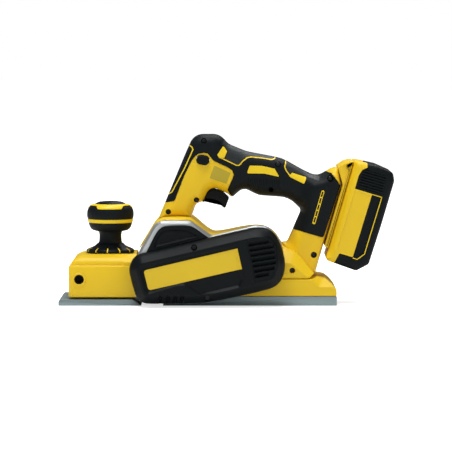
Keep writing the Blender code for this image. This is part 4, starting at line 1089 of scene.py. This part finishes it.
@dataclass
class Shoes:
    """The two machined sole plates, with broken edges."""

    left: float = -47.0
    right: float = 42.0

    def plate(self, name: str, outline: Sequence[Corner], body: str, node: str,
              cutter: bpy.types.Object) -> None:
        """Build one plate as a soft-edged extrusion with a groove or slot cut out of it."""
        piece = soft_prism(name, rounded(outline, 15.0), self.left, self.right, 0.45, SOLE, steps=2)
        carve(piece, cutter)
        piece.data.set_sharp_from_angle(angle=radians(32.0))
        settle(piece, body, [node])

    def build(self) -> None:
        """Build the front plate with its edge groove, the rear plate with its slot, and the tower."""
        corners = [(x, y, z) for x in (-206.0, -114.0) for y, z in ((-2.6, -0.6), (2.6, -0.6), (0.0, 2.0))]
        notch = make_object("edge_groove", corners, [(0, 1, 2), (5, 4, 3), (0, 3, 4, 1), (1, 4, 5, 2),
                                                     (2, 5, 3, 0)], SOLE, 30.0)
        face_outwards(notch)
        slot = soft_prism("foot_slot", np.array([(64.0, -1.0), (95.5, -1.0), (95.5, 12.0), (64.0, 12.0)]),
                          -40.0, -29.0, 0.1, SOLE, steps=1)
        face_outwards(slot)
        self.plate("front_sole", [(-204.5, 0.0, 0.7), (-116.0, 0.0, 0.3), (-126.0, 6.3, 0.4),
                                  (-202.5, 6.3, 0.6), (-204.5, 4.4, 0.5)], "front_shoe_body", "front_shoe",
                   notch)
        self.plate("rear_sole", [(-94.0, 0.0, 0.2), (90.5, 0.0, 0.7), (90.5, 9.7, 0.7), (-82.0, 9.7, 0.5)],
                   "root", "rear_shoe", slot)
        tower = soft_prism("depth_tower", rounded([(-164.0, 4.0, 0.4), (-138.0, 4.0, 0.4),
                                                   (-138.0, 35.0, 1.0), (-164.0, 35.0, 1.0)]),
                           -13.0, 13.0, 0.6, SOLE, steps=2)
        settle(tower, "front_shoe_body")


# ---------------------------------------------------------------- casting, chip port and belt cover

@dataclass
class ChipPortCap:
    """The black blanking cap on the casting's left face, with its recessed panel."""

    panel: tuple[Point, ...] = ((-111.6, 56.4), (-111.6, 56.4), (-105.6, 68.0), (-100.9, 77.4),
                                (-96.8, 82.6), (-90.6, 85.9), (-67.4, 86.2), (-61.6, 84.4), (-57.0, 81.4),
                                (-44.9, 72.8), (-44.9, 72.8))
    recess: tuple[Point, ...] = ((-103.4, 62.4), (-103.4, 62.4), (-100.2, 71.4), (-96.8, 77.2),
                                 (-90.8, 81.4), (-66.4, 81.4), (-56.0, 74.2), (-56.0, 74.2))
    lip: tuple[Point, ...] = ((-101.8, 62.9), (-57.6, 73.9))

    def height(self, spots: np.ndarray, depth: np.ndarray) -> np.ndarray:
        """Return the cap's face."""
        recess = smoothed(self.recess)
        face = 58.8 + swell(depth, 1.2, 1.2)
        lip = np.array(self.lip)
        return face - chamfer(spots, recess, 1.6, 1.5) + groove(spots, lip, 0.9, 0.9, False)

    def build(self) -> None:
        """Build the cap."""
        relief = Relief(smoothed(self.panel), self.height, seams=[smoothed(self.recess), np.array(self.lip)],
                        pitch=3.0, steps=(-0.3, 0.5, 1.0, 1.7), wall=down_to(56.9))
        made = relief.build({"rest": ("chip_port_panel", BLACK)})
        settle(made["rest"], "root", ["chip_port_cap"])


@dataclass
class BeltCover:
    """The belt cover: sloping rim, sunk label plate, upright bar and the intake louvres."""

    face: float = 76.0
    wall_depth: float = 9.4
    louvre_count: int = 7
    edge: tuple[Point, ...] = (
        (-118.7, 56.0), (-124.6, 51.6), (-128.0, 45.6), (-129.2, 39.0), (-127.6, 31.0), (-124.4, 19.0),
        (-121.2, 9.6), (-115.6, 4.6), (-107.4, 3.0), (-57.0, 4.2), (-43.5, 5.2), (-5.9, 12.7), (10.2, 16.6),
        (21.0, 19.6), (28.0, 23.6), (33.0, 31.0), (35.4, 41.0), (35.2, 50.0), (32.2, 63.0), (27.6, 73.0),
        (21.6, 80.4), (14.0, 83.6), (5.0, 84.2), (-4.0, 82.8), (-46.2, 72.7), (-112.2, 57.2))
    sunk: tuple[Corner, ...] = (
        (-119.0, 44.6, 6.0), (-112.6, 18.6, 2.0), (-108.4, 14.6, 3.0), (-77.6, 23.9, 3.0), (-70.6, 23.9, 3.0),
        (-53.2, 12.6, 2.0), (-12.2, 22.0, 3.0), (-9.0, 30.0, 1.0), (-16.0, 66.0, 2.0))
    plate: tuple[Corner, ...] = ((-113.4, 39.7, 3.0), (-14.9, 63.1, 0.6), (-10.0, 41.4, 0.6),
                                 (-108.2, 18.6, 3.0))
    screws: tuple[Corner, ...] = ((-60.3, 63.5, 3.3), (-46.5, 9.6, 3.1))
    bar: tuple[Corner, ...] = ((-14.4, 69.4, 1.6), (-5.4, 71.0, 1.6), (3.8, 27.0, 1.6), (-5.2, 25.0, 1.6))
    grille: tuple[Corner, ...] = ((-4.6, 71.4, 1.0), (18.0, 76.2, 8.0), (26.6, 66.0, 8.0), (27.6, 42.0, 10.0),
                                  (20.6, 30.6, 5.0), (4.6, 27.0, 1.0))

    def louvres(self) -> list[tuple[Point, Point]]:
        """Return the lower edge of each louvre slot."""
        lines = []
        for index in range(self.louvre_count):
            z = 31.8 + 5.55 * index
            left = 3.6 - 1.16 * index
            right = (18.4, 24.6, 25.8, 25.4, 24.6, 23.2, 18.6)[index]
            lines.append(((left, z), (right, z + 0.16 * (right - left))))
        return lines

    def notches(self) -> list[np.ndarray]:
        """Return the finger notches along the lower front edge."""
        places = (-96.8, -89.0, -81.4, -74.0)
        return [rounded([(x - 1.8, -2.0, 0.0), (x + 2.4, -2.0, 0.0), (x + 3.4, 12.0, 1.8),
                         (x + 0.8, 14.6, 1.8), (x - 1.3, 11.4, 1.8)]) for x in places]

    def height(self, spots: np.ndarray, depth: np.ndarray) -> np.ndarray:
        """Return the cover's face."""
        x, z = spots[:, 0], spots[:, 1]
        rim = np.clip(depth / self.wall_depth, 0.0, 1.0)
        face = 59.8 + (self.face - 59.8) * (0.30 * np.sqrt(1.0 - (1.0 - np.clip(depth / 1.6, 0, 1)) ** 2)
                                            + 0.70 * rim ** 0.9)
        over = smooth((depth - self.wall_depth + 1.6) / 3.2)
        face = face * (1.0 - over) + self.face * over
        for notch in self.notches():
            face = face - step_up(spots, notch, 3.0, 1.6)
        face = face - chamfer(spots, rounded(self.sunk), 2.0, 2.6)
        face = face + step_up(spots, rounded(self.plate), 0.5, 0.3)
        face = face + step_up(spots, rounded(self.bar), 0.9, 1.0)
        face = face - step_up(spots, rounded(self.grille), 0.7, 0.8)
        for (x0, z0), (x1, z1) in self.louvres():
            along = np.clip((x - x0) / (x1 - x0), 0.0, 1.0)
            above = z - (z0 + (z1 - z0) * along)
            mask = (x > x0) & (x < x1) & (above > 0.0) & (above < 4.4)
            lean = np.clip(1.0 - above / 4.2, 0.0, 1.0)
            ends = smooth(np.minimum(x - x0, x1 - x) / 0.8)
            face = face - np.where(mask, 3.2 * lean ** 0.8 * ends, 0.0)
        return face

    def build(self) -> None:
        """Build the cover with its plate and the wells of its screws."""
        seams = []
        for (x0, z0), (x1, z1) in self.louvres():
            seams.append(np.array([(x0, z0), (x1, z1)]))
            seams.append(np.array([(x0, z0 + 4.4), (x1, z1 + 4.4)]))
            for shift in (1.0, 2.2, 3.4):
                seams.append(np.array([(x0, z0 + shift), (x1, z1 + shift)]))
        for notch in self.notches():
            seams.append(np.concatenate([notch, notch[:1]]))
        outline = smoothed(self.edge, 2)
        holes = [circle(x, z, radius, 24) for x, z, radius in self.screws]
        relief = Relief(outline, self.height,
                        {"sunk": rounded(self.sunk), "bar": rounded(self.bar), "grille": rounded(self.grille),
                         "plate": rounded(self.plate)}, seams, holes,
                        pitch=3.2, steps=(-0.25, 0.2, 0.7, 1.5, 2.6),
                        rings=(0.15, 0.5, 1.0, 1.7, 3.2, 5.2, 7.0, 7.8, 8.8, 9.8, 11.0),
                        wall=down_to(57.2))
        made = relief.build({"rest": ("belt_cover_rim", BLACK), "sunk": ("belt_cover_field", BLACK),
                             "bar": ("belt_cover_bar", BLACK), "grille": ("belt_cover_louvres", BLACK),
                             "plate": ("belt_cover_bare_plate", PLATE)})
        for region, piece in made.items():
            settle(piece, "root", ["belt_cover"] if region == "rest" else [])
        for index, (hole, (x, z, radius)) in enumerate(zip(holes, self.screws), start=1):
            rim = float(np.min(self.height(hole, distance(hole, outline))))
            # painted shade: the well's inside is lined near-black
            cup = screw_cup(f"cover_screw_well_{index}", x, z, radius, rim, 64.0, PAINTED_SHADE_HOLLOW, Side.LEFT)
            settle(cup, "root")


# ---------------------------------------------------------------- controls

@dataclass
class Controls:
    """The trigger and the lock-off button."""

    trigger: tuple[Corner, ...] = (
        (-53.0, 106.8, 1.0), (-48.4, 117.6, 5.0), (-42.4, 122.6, 4.0), (-31.0, 119.4, 6.0),
        (-23.4, 112.2, 2.0), (-28.0, 100.0, 1.8), (-36.2, 107.8, 8.0), (-46.0, 109.4, 6.0))

    def build(self) -> None:
        """Build both controls."""
        lever = soft_prism("trigger_lever", resample(rounded(self.trigger, 12.0), 1.6), -9.0, 9.0, 2.0, BLACK)
        settle(lever, "trigger_body", ["trigger"])
        for side in Side:
            def height(spots: np.ndarray, depth: np.ndarray) -> np.ndarray:
                return 21.6 + swell(depth, 2.2, 1.6) - 0.8 * smooth((depth - 1.2) / 3.0)
            relief = Relief(button_oval(0.0), height, side=side, pitch=1.4, rings=(0.15, 0.5, 1.0, 1.7, 2.6),
                            wall=down_to(0.0))
            made = relief.build({"rest": (f"lock_button_{side.word}", BLACK)})
            settle(made["rest"], "lock_body", ["lock_button"])
            rim = button_oval(0.4)
            verts = [(x, side.value * y, z) for y in (20.2, 11.0) for x, z in rim]
            # painted shade: the gap round the button is lined near-black
            well = make_object(f"lock_button_well_{side.word}", verts, ring_faces(2, len(rim)), PAINTED_SHADE_HOLLOW, 40.0)
            settle(well, "root")


# ---------------------------------------------------------------- battery

PACK_ORIGIN = (80.0, 44.0)
PACK_TILT = radians(16.26)


def pack_matrix() -> Matrix:
    """Return the placing of the battery's own tilted frame, in mm."""
    return Matrix.Translation((PACK_ORIGIN[0], 0.0, PACK_ORIGIN[1])) @ Matrix.Rotation(PACK_TILT, 4, "Y")


def to_pack(points: Iterable[Sequence[float]]) -> np.ndarray:
    """Turn side-view points of the tool into the battery's own frame."""
    shifted = np.array([point[:2] for point in points]) - np.array(PACK_ORIGIN)
    turn = np.array([(cos(PACK_TILT), sin(PACK_TILT)), (-sin(PACK_TILT), cos(PACK_TILT))])
    return shifted @ turn


@dataclass
class Battery:
    """The pack: yellow inner case, ribbed black outer case, strips, ridges and the release button."""

    half: float = 38.0
    edge: tuple[Corner, ...] = (
        (-2.3, 3.0, 4.0), (20.0, 1.6, 6.0), (32.4, 0.9, 4.0), (43.4, 11.5, 5.0), (44.4, 54.0, 0.0),
        (44.4, 104.0, 8.0), (40.5, 112.2, 5.0), (22.0, 114.6, 8.0), (-2.3, 112.8, 3.0))
    outer: tuple[Corner, ...] = (
        (122.4, 158.0, 0.0), (123.2, 146.0, 2.0), (117.4, 143.6, 2.0), (113.6, 137.4, 4.0),
        (109.6, 123.4, 0.6), (127.9, 117.6, 0.4), (107.6, 50.8, 1.0), (93.4, 55.0, 1.6), (91.0, 50.4, 2.0),
        (86.6, 42.0, 0.0), (100.0, 26.0, 0.0), (124.0, 28.0, 0.0), (164.0, 120.0, 0.0), (160.0, 152.0, 0.0),
        (135.0, 164.0, 0.0))
    ribbed: tuple[Corner, ...] = ((113.6, 124.8, 1.0), (137.4, 117.6, 1.0), (143.4, 137.0, 3.0),
                                  (119.6, 144.6, 2.0), (116.6, 136.0, 2.0))
    label: tuple[Corner, ...] = ((110.0, 122.6, 1.0), (137.6, 114.1, 1.0), (119.6, 54.2, 3.0),
                                 (112.0, 48.9, 2.0), (93.0, 55.6, 2.0), (91.6, 61.0, 3.0))
    line: tuple[Point, ...] = ((109.8, 123.0), (138.2, 114.3), (120.0, 54.0), (112.2, 48.4), (107.6, 50.0))

    def outline(self) -> np.ndarray:
        """Return the pack's outline in its own frame."""
        return rounded(self.edge, 10.0)

    def area(self, corners: Sequence[Corner]) -> np.ndarray:
        """Return an area of the flank in the pack's own frame."""
        return rounded([(*flat, corner[2]) for flat, corner in zip(to_pack(corners), corners)], 18.0)

    def height(self, spots: np.ndarray, depth: np.ndarray) -> np.ndarray:
        """Return the flank's distance from the middle plane."""
        v, u = spots[:, 0], spots[:, 1]
        face = self.half - 6.0 + swell(depth, 6.0, 7.0)
        face = face - step_up(spots, self.area(self.label), 0.7, 0.9)
        ribs = np.abs((u % 2.9) - 1.45) / 1.45
        within = step_up(spots, self.area(self.ribbed), 1.0, 0.8)
        face = face - within * (0.2 + 1.3 * ribs ** 2)
        crest = distance(spots, self.crest(), False)
        face = face + 0.5 * (1.0 - smooth(crest / 2.6)) * smooth(depth / 3.0)
        return face - 6.0 * smooth((4.6 - v) / 7.0) * smooth((u - 4.0) / 12.0)

    def crest(self) -> np.ndarray:
        """Return the raised edge where the pack's flank turns into its neck."""
        return to_pack([(114.4, 149.0), (110.4, 143.6), (88.6, 69.0), (88.2, 60.0), (94.0, 51.6)])

    def build(self) -> None:
        """Build both flanks, the cross-band between them, and the button."""
        matrix = pack_matrix()
        outline = self.outline()
        rib_lines = []
        for index in range(10):
            u = 84.1 + 1.45 * index * 2.0
            rib_lines += [np.array([(8.0, u), (40.0, u)]), np.array([(8.0, u + 1.45), (40.0, u + 1.45)])]
        border = self.area(self.label)
        for side in Side:
            relief = Relief(outline, self.height,
                            {"outer": self.area(self.outer),
                             "line": ribbon([tuple(p) for p in to_pack(self.line)], 0.9)},
                            [*rib_lines, self.crest(), np.concatenate([border, border[:1]])],
                            side=side, pitch=3.0, matrix=matrix,
                            rings=(0.2, 0.7, 1.5, 2.6, 4.0, 5.6, 7.2),
                            wall=down_to(0.0))
            made = relief.build({"rest": (f"pack_case_{side.word}", YELLOW),
                                 "outer": (f"pack_guard_{side.word}", BLACK),
                                 "line": (f"pack_line_{side.word}", YELLOW_TRIM)})
            for region, piece in made.items():
                nodes = {"rest": ["battery_inner_case"], "outer": ["battery_outer_case"]}.get(region, [])
                settle(piece, "battery_pack", nodes)
        button = soft_prism("release_button", rounded([(8.4, 110.0, 0.0), (19.6, 110.0, 0.0),
                                                       (19.6, 114.6, 1.4), (8.4, 114.6, 1.4)]),
                            -8.6, 8.6, 1.0, BLACK, matrix)
        settle(button, "release_body", ["battery_release_button"])


@dataclass
class PackMount:
    """The yellow flange and neck on the tool's rear that meets the battery."""

    def build(self) -> None:
        """Build the flange with its fine ridges."""
        outline = rounded([(-6.8, 16.0, 1.0), (-6.8, 84.6, 0.0), (-17.0, 101.2, 1.0), (-11.3, 107.8, 4.0),
                           (-6.2, 111.0, 3.0), (-2.8, 112.0, 0.6), (-2.8, 16.0, 0.6)])
        flange = soft_prism("mount_flange", outline, -30.0, 30.0, 1.2, YELLOW, pack_matrix())
        settle(flange, "root", ["battery_flange"])
        for index in range(3):
            v, top = -6.6 + 1.35 * index, 104.0 + 1.5 * index
            section = np.array([(v, 17.0), (v + 0.6, 17.0), (v + 0.6, top), (v, top)])
            rib = soft_prism(f"mount_rib_{index + 1}", section, -30.5, 30.5, 0.25, YELLOW, pack_matrix(), 2)
            settle(rib, "root")


# ---------------------------------------------------------------- carried-over nodes and the studio

@dataclass
class CarriedNodes:
    """CAD nodes that are shown as they are, with softened edges and the part's finishes."""

    frame: dict
    bevelled: tuple[str, ...] = ("main_frame", "chip_chute", "drum_end_cap", "kickstand", "knob_stud")

    def build(self) -> None:
        """Dress every node in the finish of its material slot."""
        for name, node in self.frame["nodes"].items():
            slot = node.data.materials[0].name.split(".")[0]
            finish = finish_of(slot)
            if name.startswith(("handle_screw", "cover_screw")):
                finish = DARK_STEEL
            node.data.materials.clear()
            node.data.materials.append(finish.material())
            if name in self.bevelled:
                weld = node.modifiers.new("weld", "WELD")
                weld.merge_threshold = 0.00001
                bevel = node.modifiers.new("bevel", "BEVEL")
                bevel.width = 0.0006
                bevel.segments = 2
                bevel.limit_method = "ANGLE"
                bevel.angle_limit = radians(35.0)
                bevel.harden_normals = False


@dataclass
class Studio:
    """A pale floor and backdrop, soft light from above, and the camera."""

    eye: tuple[float, float, float] = (-0.026896, -2.934049, 0.286483)
    tilt: float = 86.0
    focal_length: float = 218.126
    target: tuple[float, float, float] = (-0.03, 0.0, 0.08)

    def floor(self) -> None:
        """Build the white floor that the tool stands on."""
        mesh = bpy.data.meshes.new("studio_floor")
        mesh.from_pydata([(-9.0, -4.0, -0.0002), (9.0, -4.0, -0.0002), (9.0, 14.0, -0.0002),
                          (-9.0, 14.0, -0.0002)], [], [(0, 1, 2, 3)])
        white = bpy.data.materials.new("studio_white")
        white.use_nodes = True
        nodes, links = white.node_tree.nodes, white.node_tree.links
        shader, rays = nodes["Principled BSDF"], nodes.new("ShaderNodeLightPath")
        shader.inputs["Base Color"].default_value = (0.9, 0.9, 0.9, 1.0)
        shader.inputs["Roughness"].default_value = 0.95
        shader.inputs["Specular IOR Level"].default_value = 0.0
        shader.inputs["Emission Color"].default_value = (1.0, 1.0, 1.0, 1.0)
        faint = nodes.new("ShaderNodeMath")
        faint.operation = "MULTIPLY"
        faint.inputs[1].default_value = 0.645
        links.new(rays.outputs["Is Camera Ray"], faint.inputs[0])
        links.new(faint.outputs[0], shader.inputs["Emission Strength"])
        mesh.materials.append(white)
        floor = bpy.data.objects.new("studio_floor", mesh)
        bpy.context.scene.collection.objects.link(floor)

    def light(self, name: str, place: Point, height: float, power: float, size: float) -> None:
        """Add one soft area light aimed at the tool."""
        lamp = bpy.data.lights.new(name, "AREA")
        lamp.energy = power
        lamp.size = size
        lit = bpy.data.objects.new(name, lamp)
        lit.location = (place[0], place[1], height)
        aim = Vector(self.target) - lit.location
        lit.rotation_euler = aim.to_track_quat("-Z", "Y").to_euler()
        bpy.context.scene.collection.objects.link(lit)

    def world(self) -> None:
        """Give the surroundings an even, white light."""
        world = bpy.data.worlds.new("studio_world")
        bpy.context.scene.world = world
        world.use_nodes = True
        nodes, links = world.node_tree.nodes, world.node_tree.links
        sky, rays = nodes["Background"], nodes.new("ShaderNodeLightPath")
        seen, mirrored = nodes.new("ShaderNodeMapRange"), nodes.new("ShaderNodeMapRange")
        mirrored.inputs["To Min"].default_value = 0.42
        mirrored.inputs["To Max"].default_value = 0.14
        seen.inputs["To Max"].default_value = 1.0
        sky.inputs["Color"].default_value = (1.0, 1.0, 1.0, 1.0)
        links.new(rays.outputs["Is Glossy Ray"], mirrored.inputs["Value"])
        links.new(mirrored.outputs["Result"], seen.inputs["To Min"])
        links.new(rays.outputs["Is Camera Ray"], seen.inputs["Value"])
        links.new(seen.outputs["Result"], sky.inputs["Strength"])

    def camera(self) -> None:
        """Place the camera at the side of the tool, slightly above it."""
        lens = bpy.data.cameras.new("camera")
        lens.lens = self.focal_length
        lens.sensor_width = 36.0
        lens.clip_end = 50.0
        seen = bpy.data.objects.new("camera", lens)
        seen.location = self.eye
        seen.rotation_euler = (radians(self.tilt), 0.0, 0.0)
        bpy.context.scene.collection.objects.link(seen)
        bpy.context.scene.camera = seen

    def build(self) -> None:
        """Set the whole studio up."""
        self.floor()
        self.world()
        self.light("key_light", (-0.35, -0.45), 2.3, 42.0, 1.1)
        self.light("fill_light", (0.9, -2.2), 1.0, 5.0, 1.6)
        self.light("rim_light", (0.4, 1.3), 1.9, 18.0, 1.2)
        self.camera()
        bpy.context.scene.view_settings.view_transform = "Standard"


def main() -> None:
    """Build every piece in the order it would be put together."""
    logging.basicConfig(level=logging.INFO, format="%(name)s: %(message)s")
    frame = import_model()
    CarriedNodes(frame).build()
    Shoes().build()
    FrontHousing().build()
    DepthKnob().build()
    RearBase().build()
    ChipPortCap().build()
    BeltCover().build()
    for side in Side:
        MotorHousing().build(side)
        Handle().build(side)
    Controls().build()
    PackMount().build()
    Battery().build()
    Studio().build()


if __name__ == "__main__":
    main()
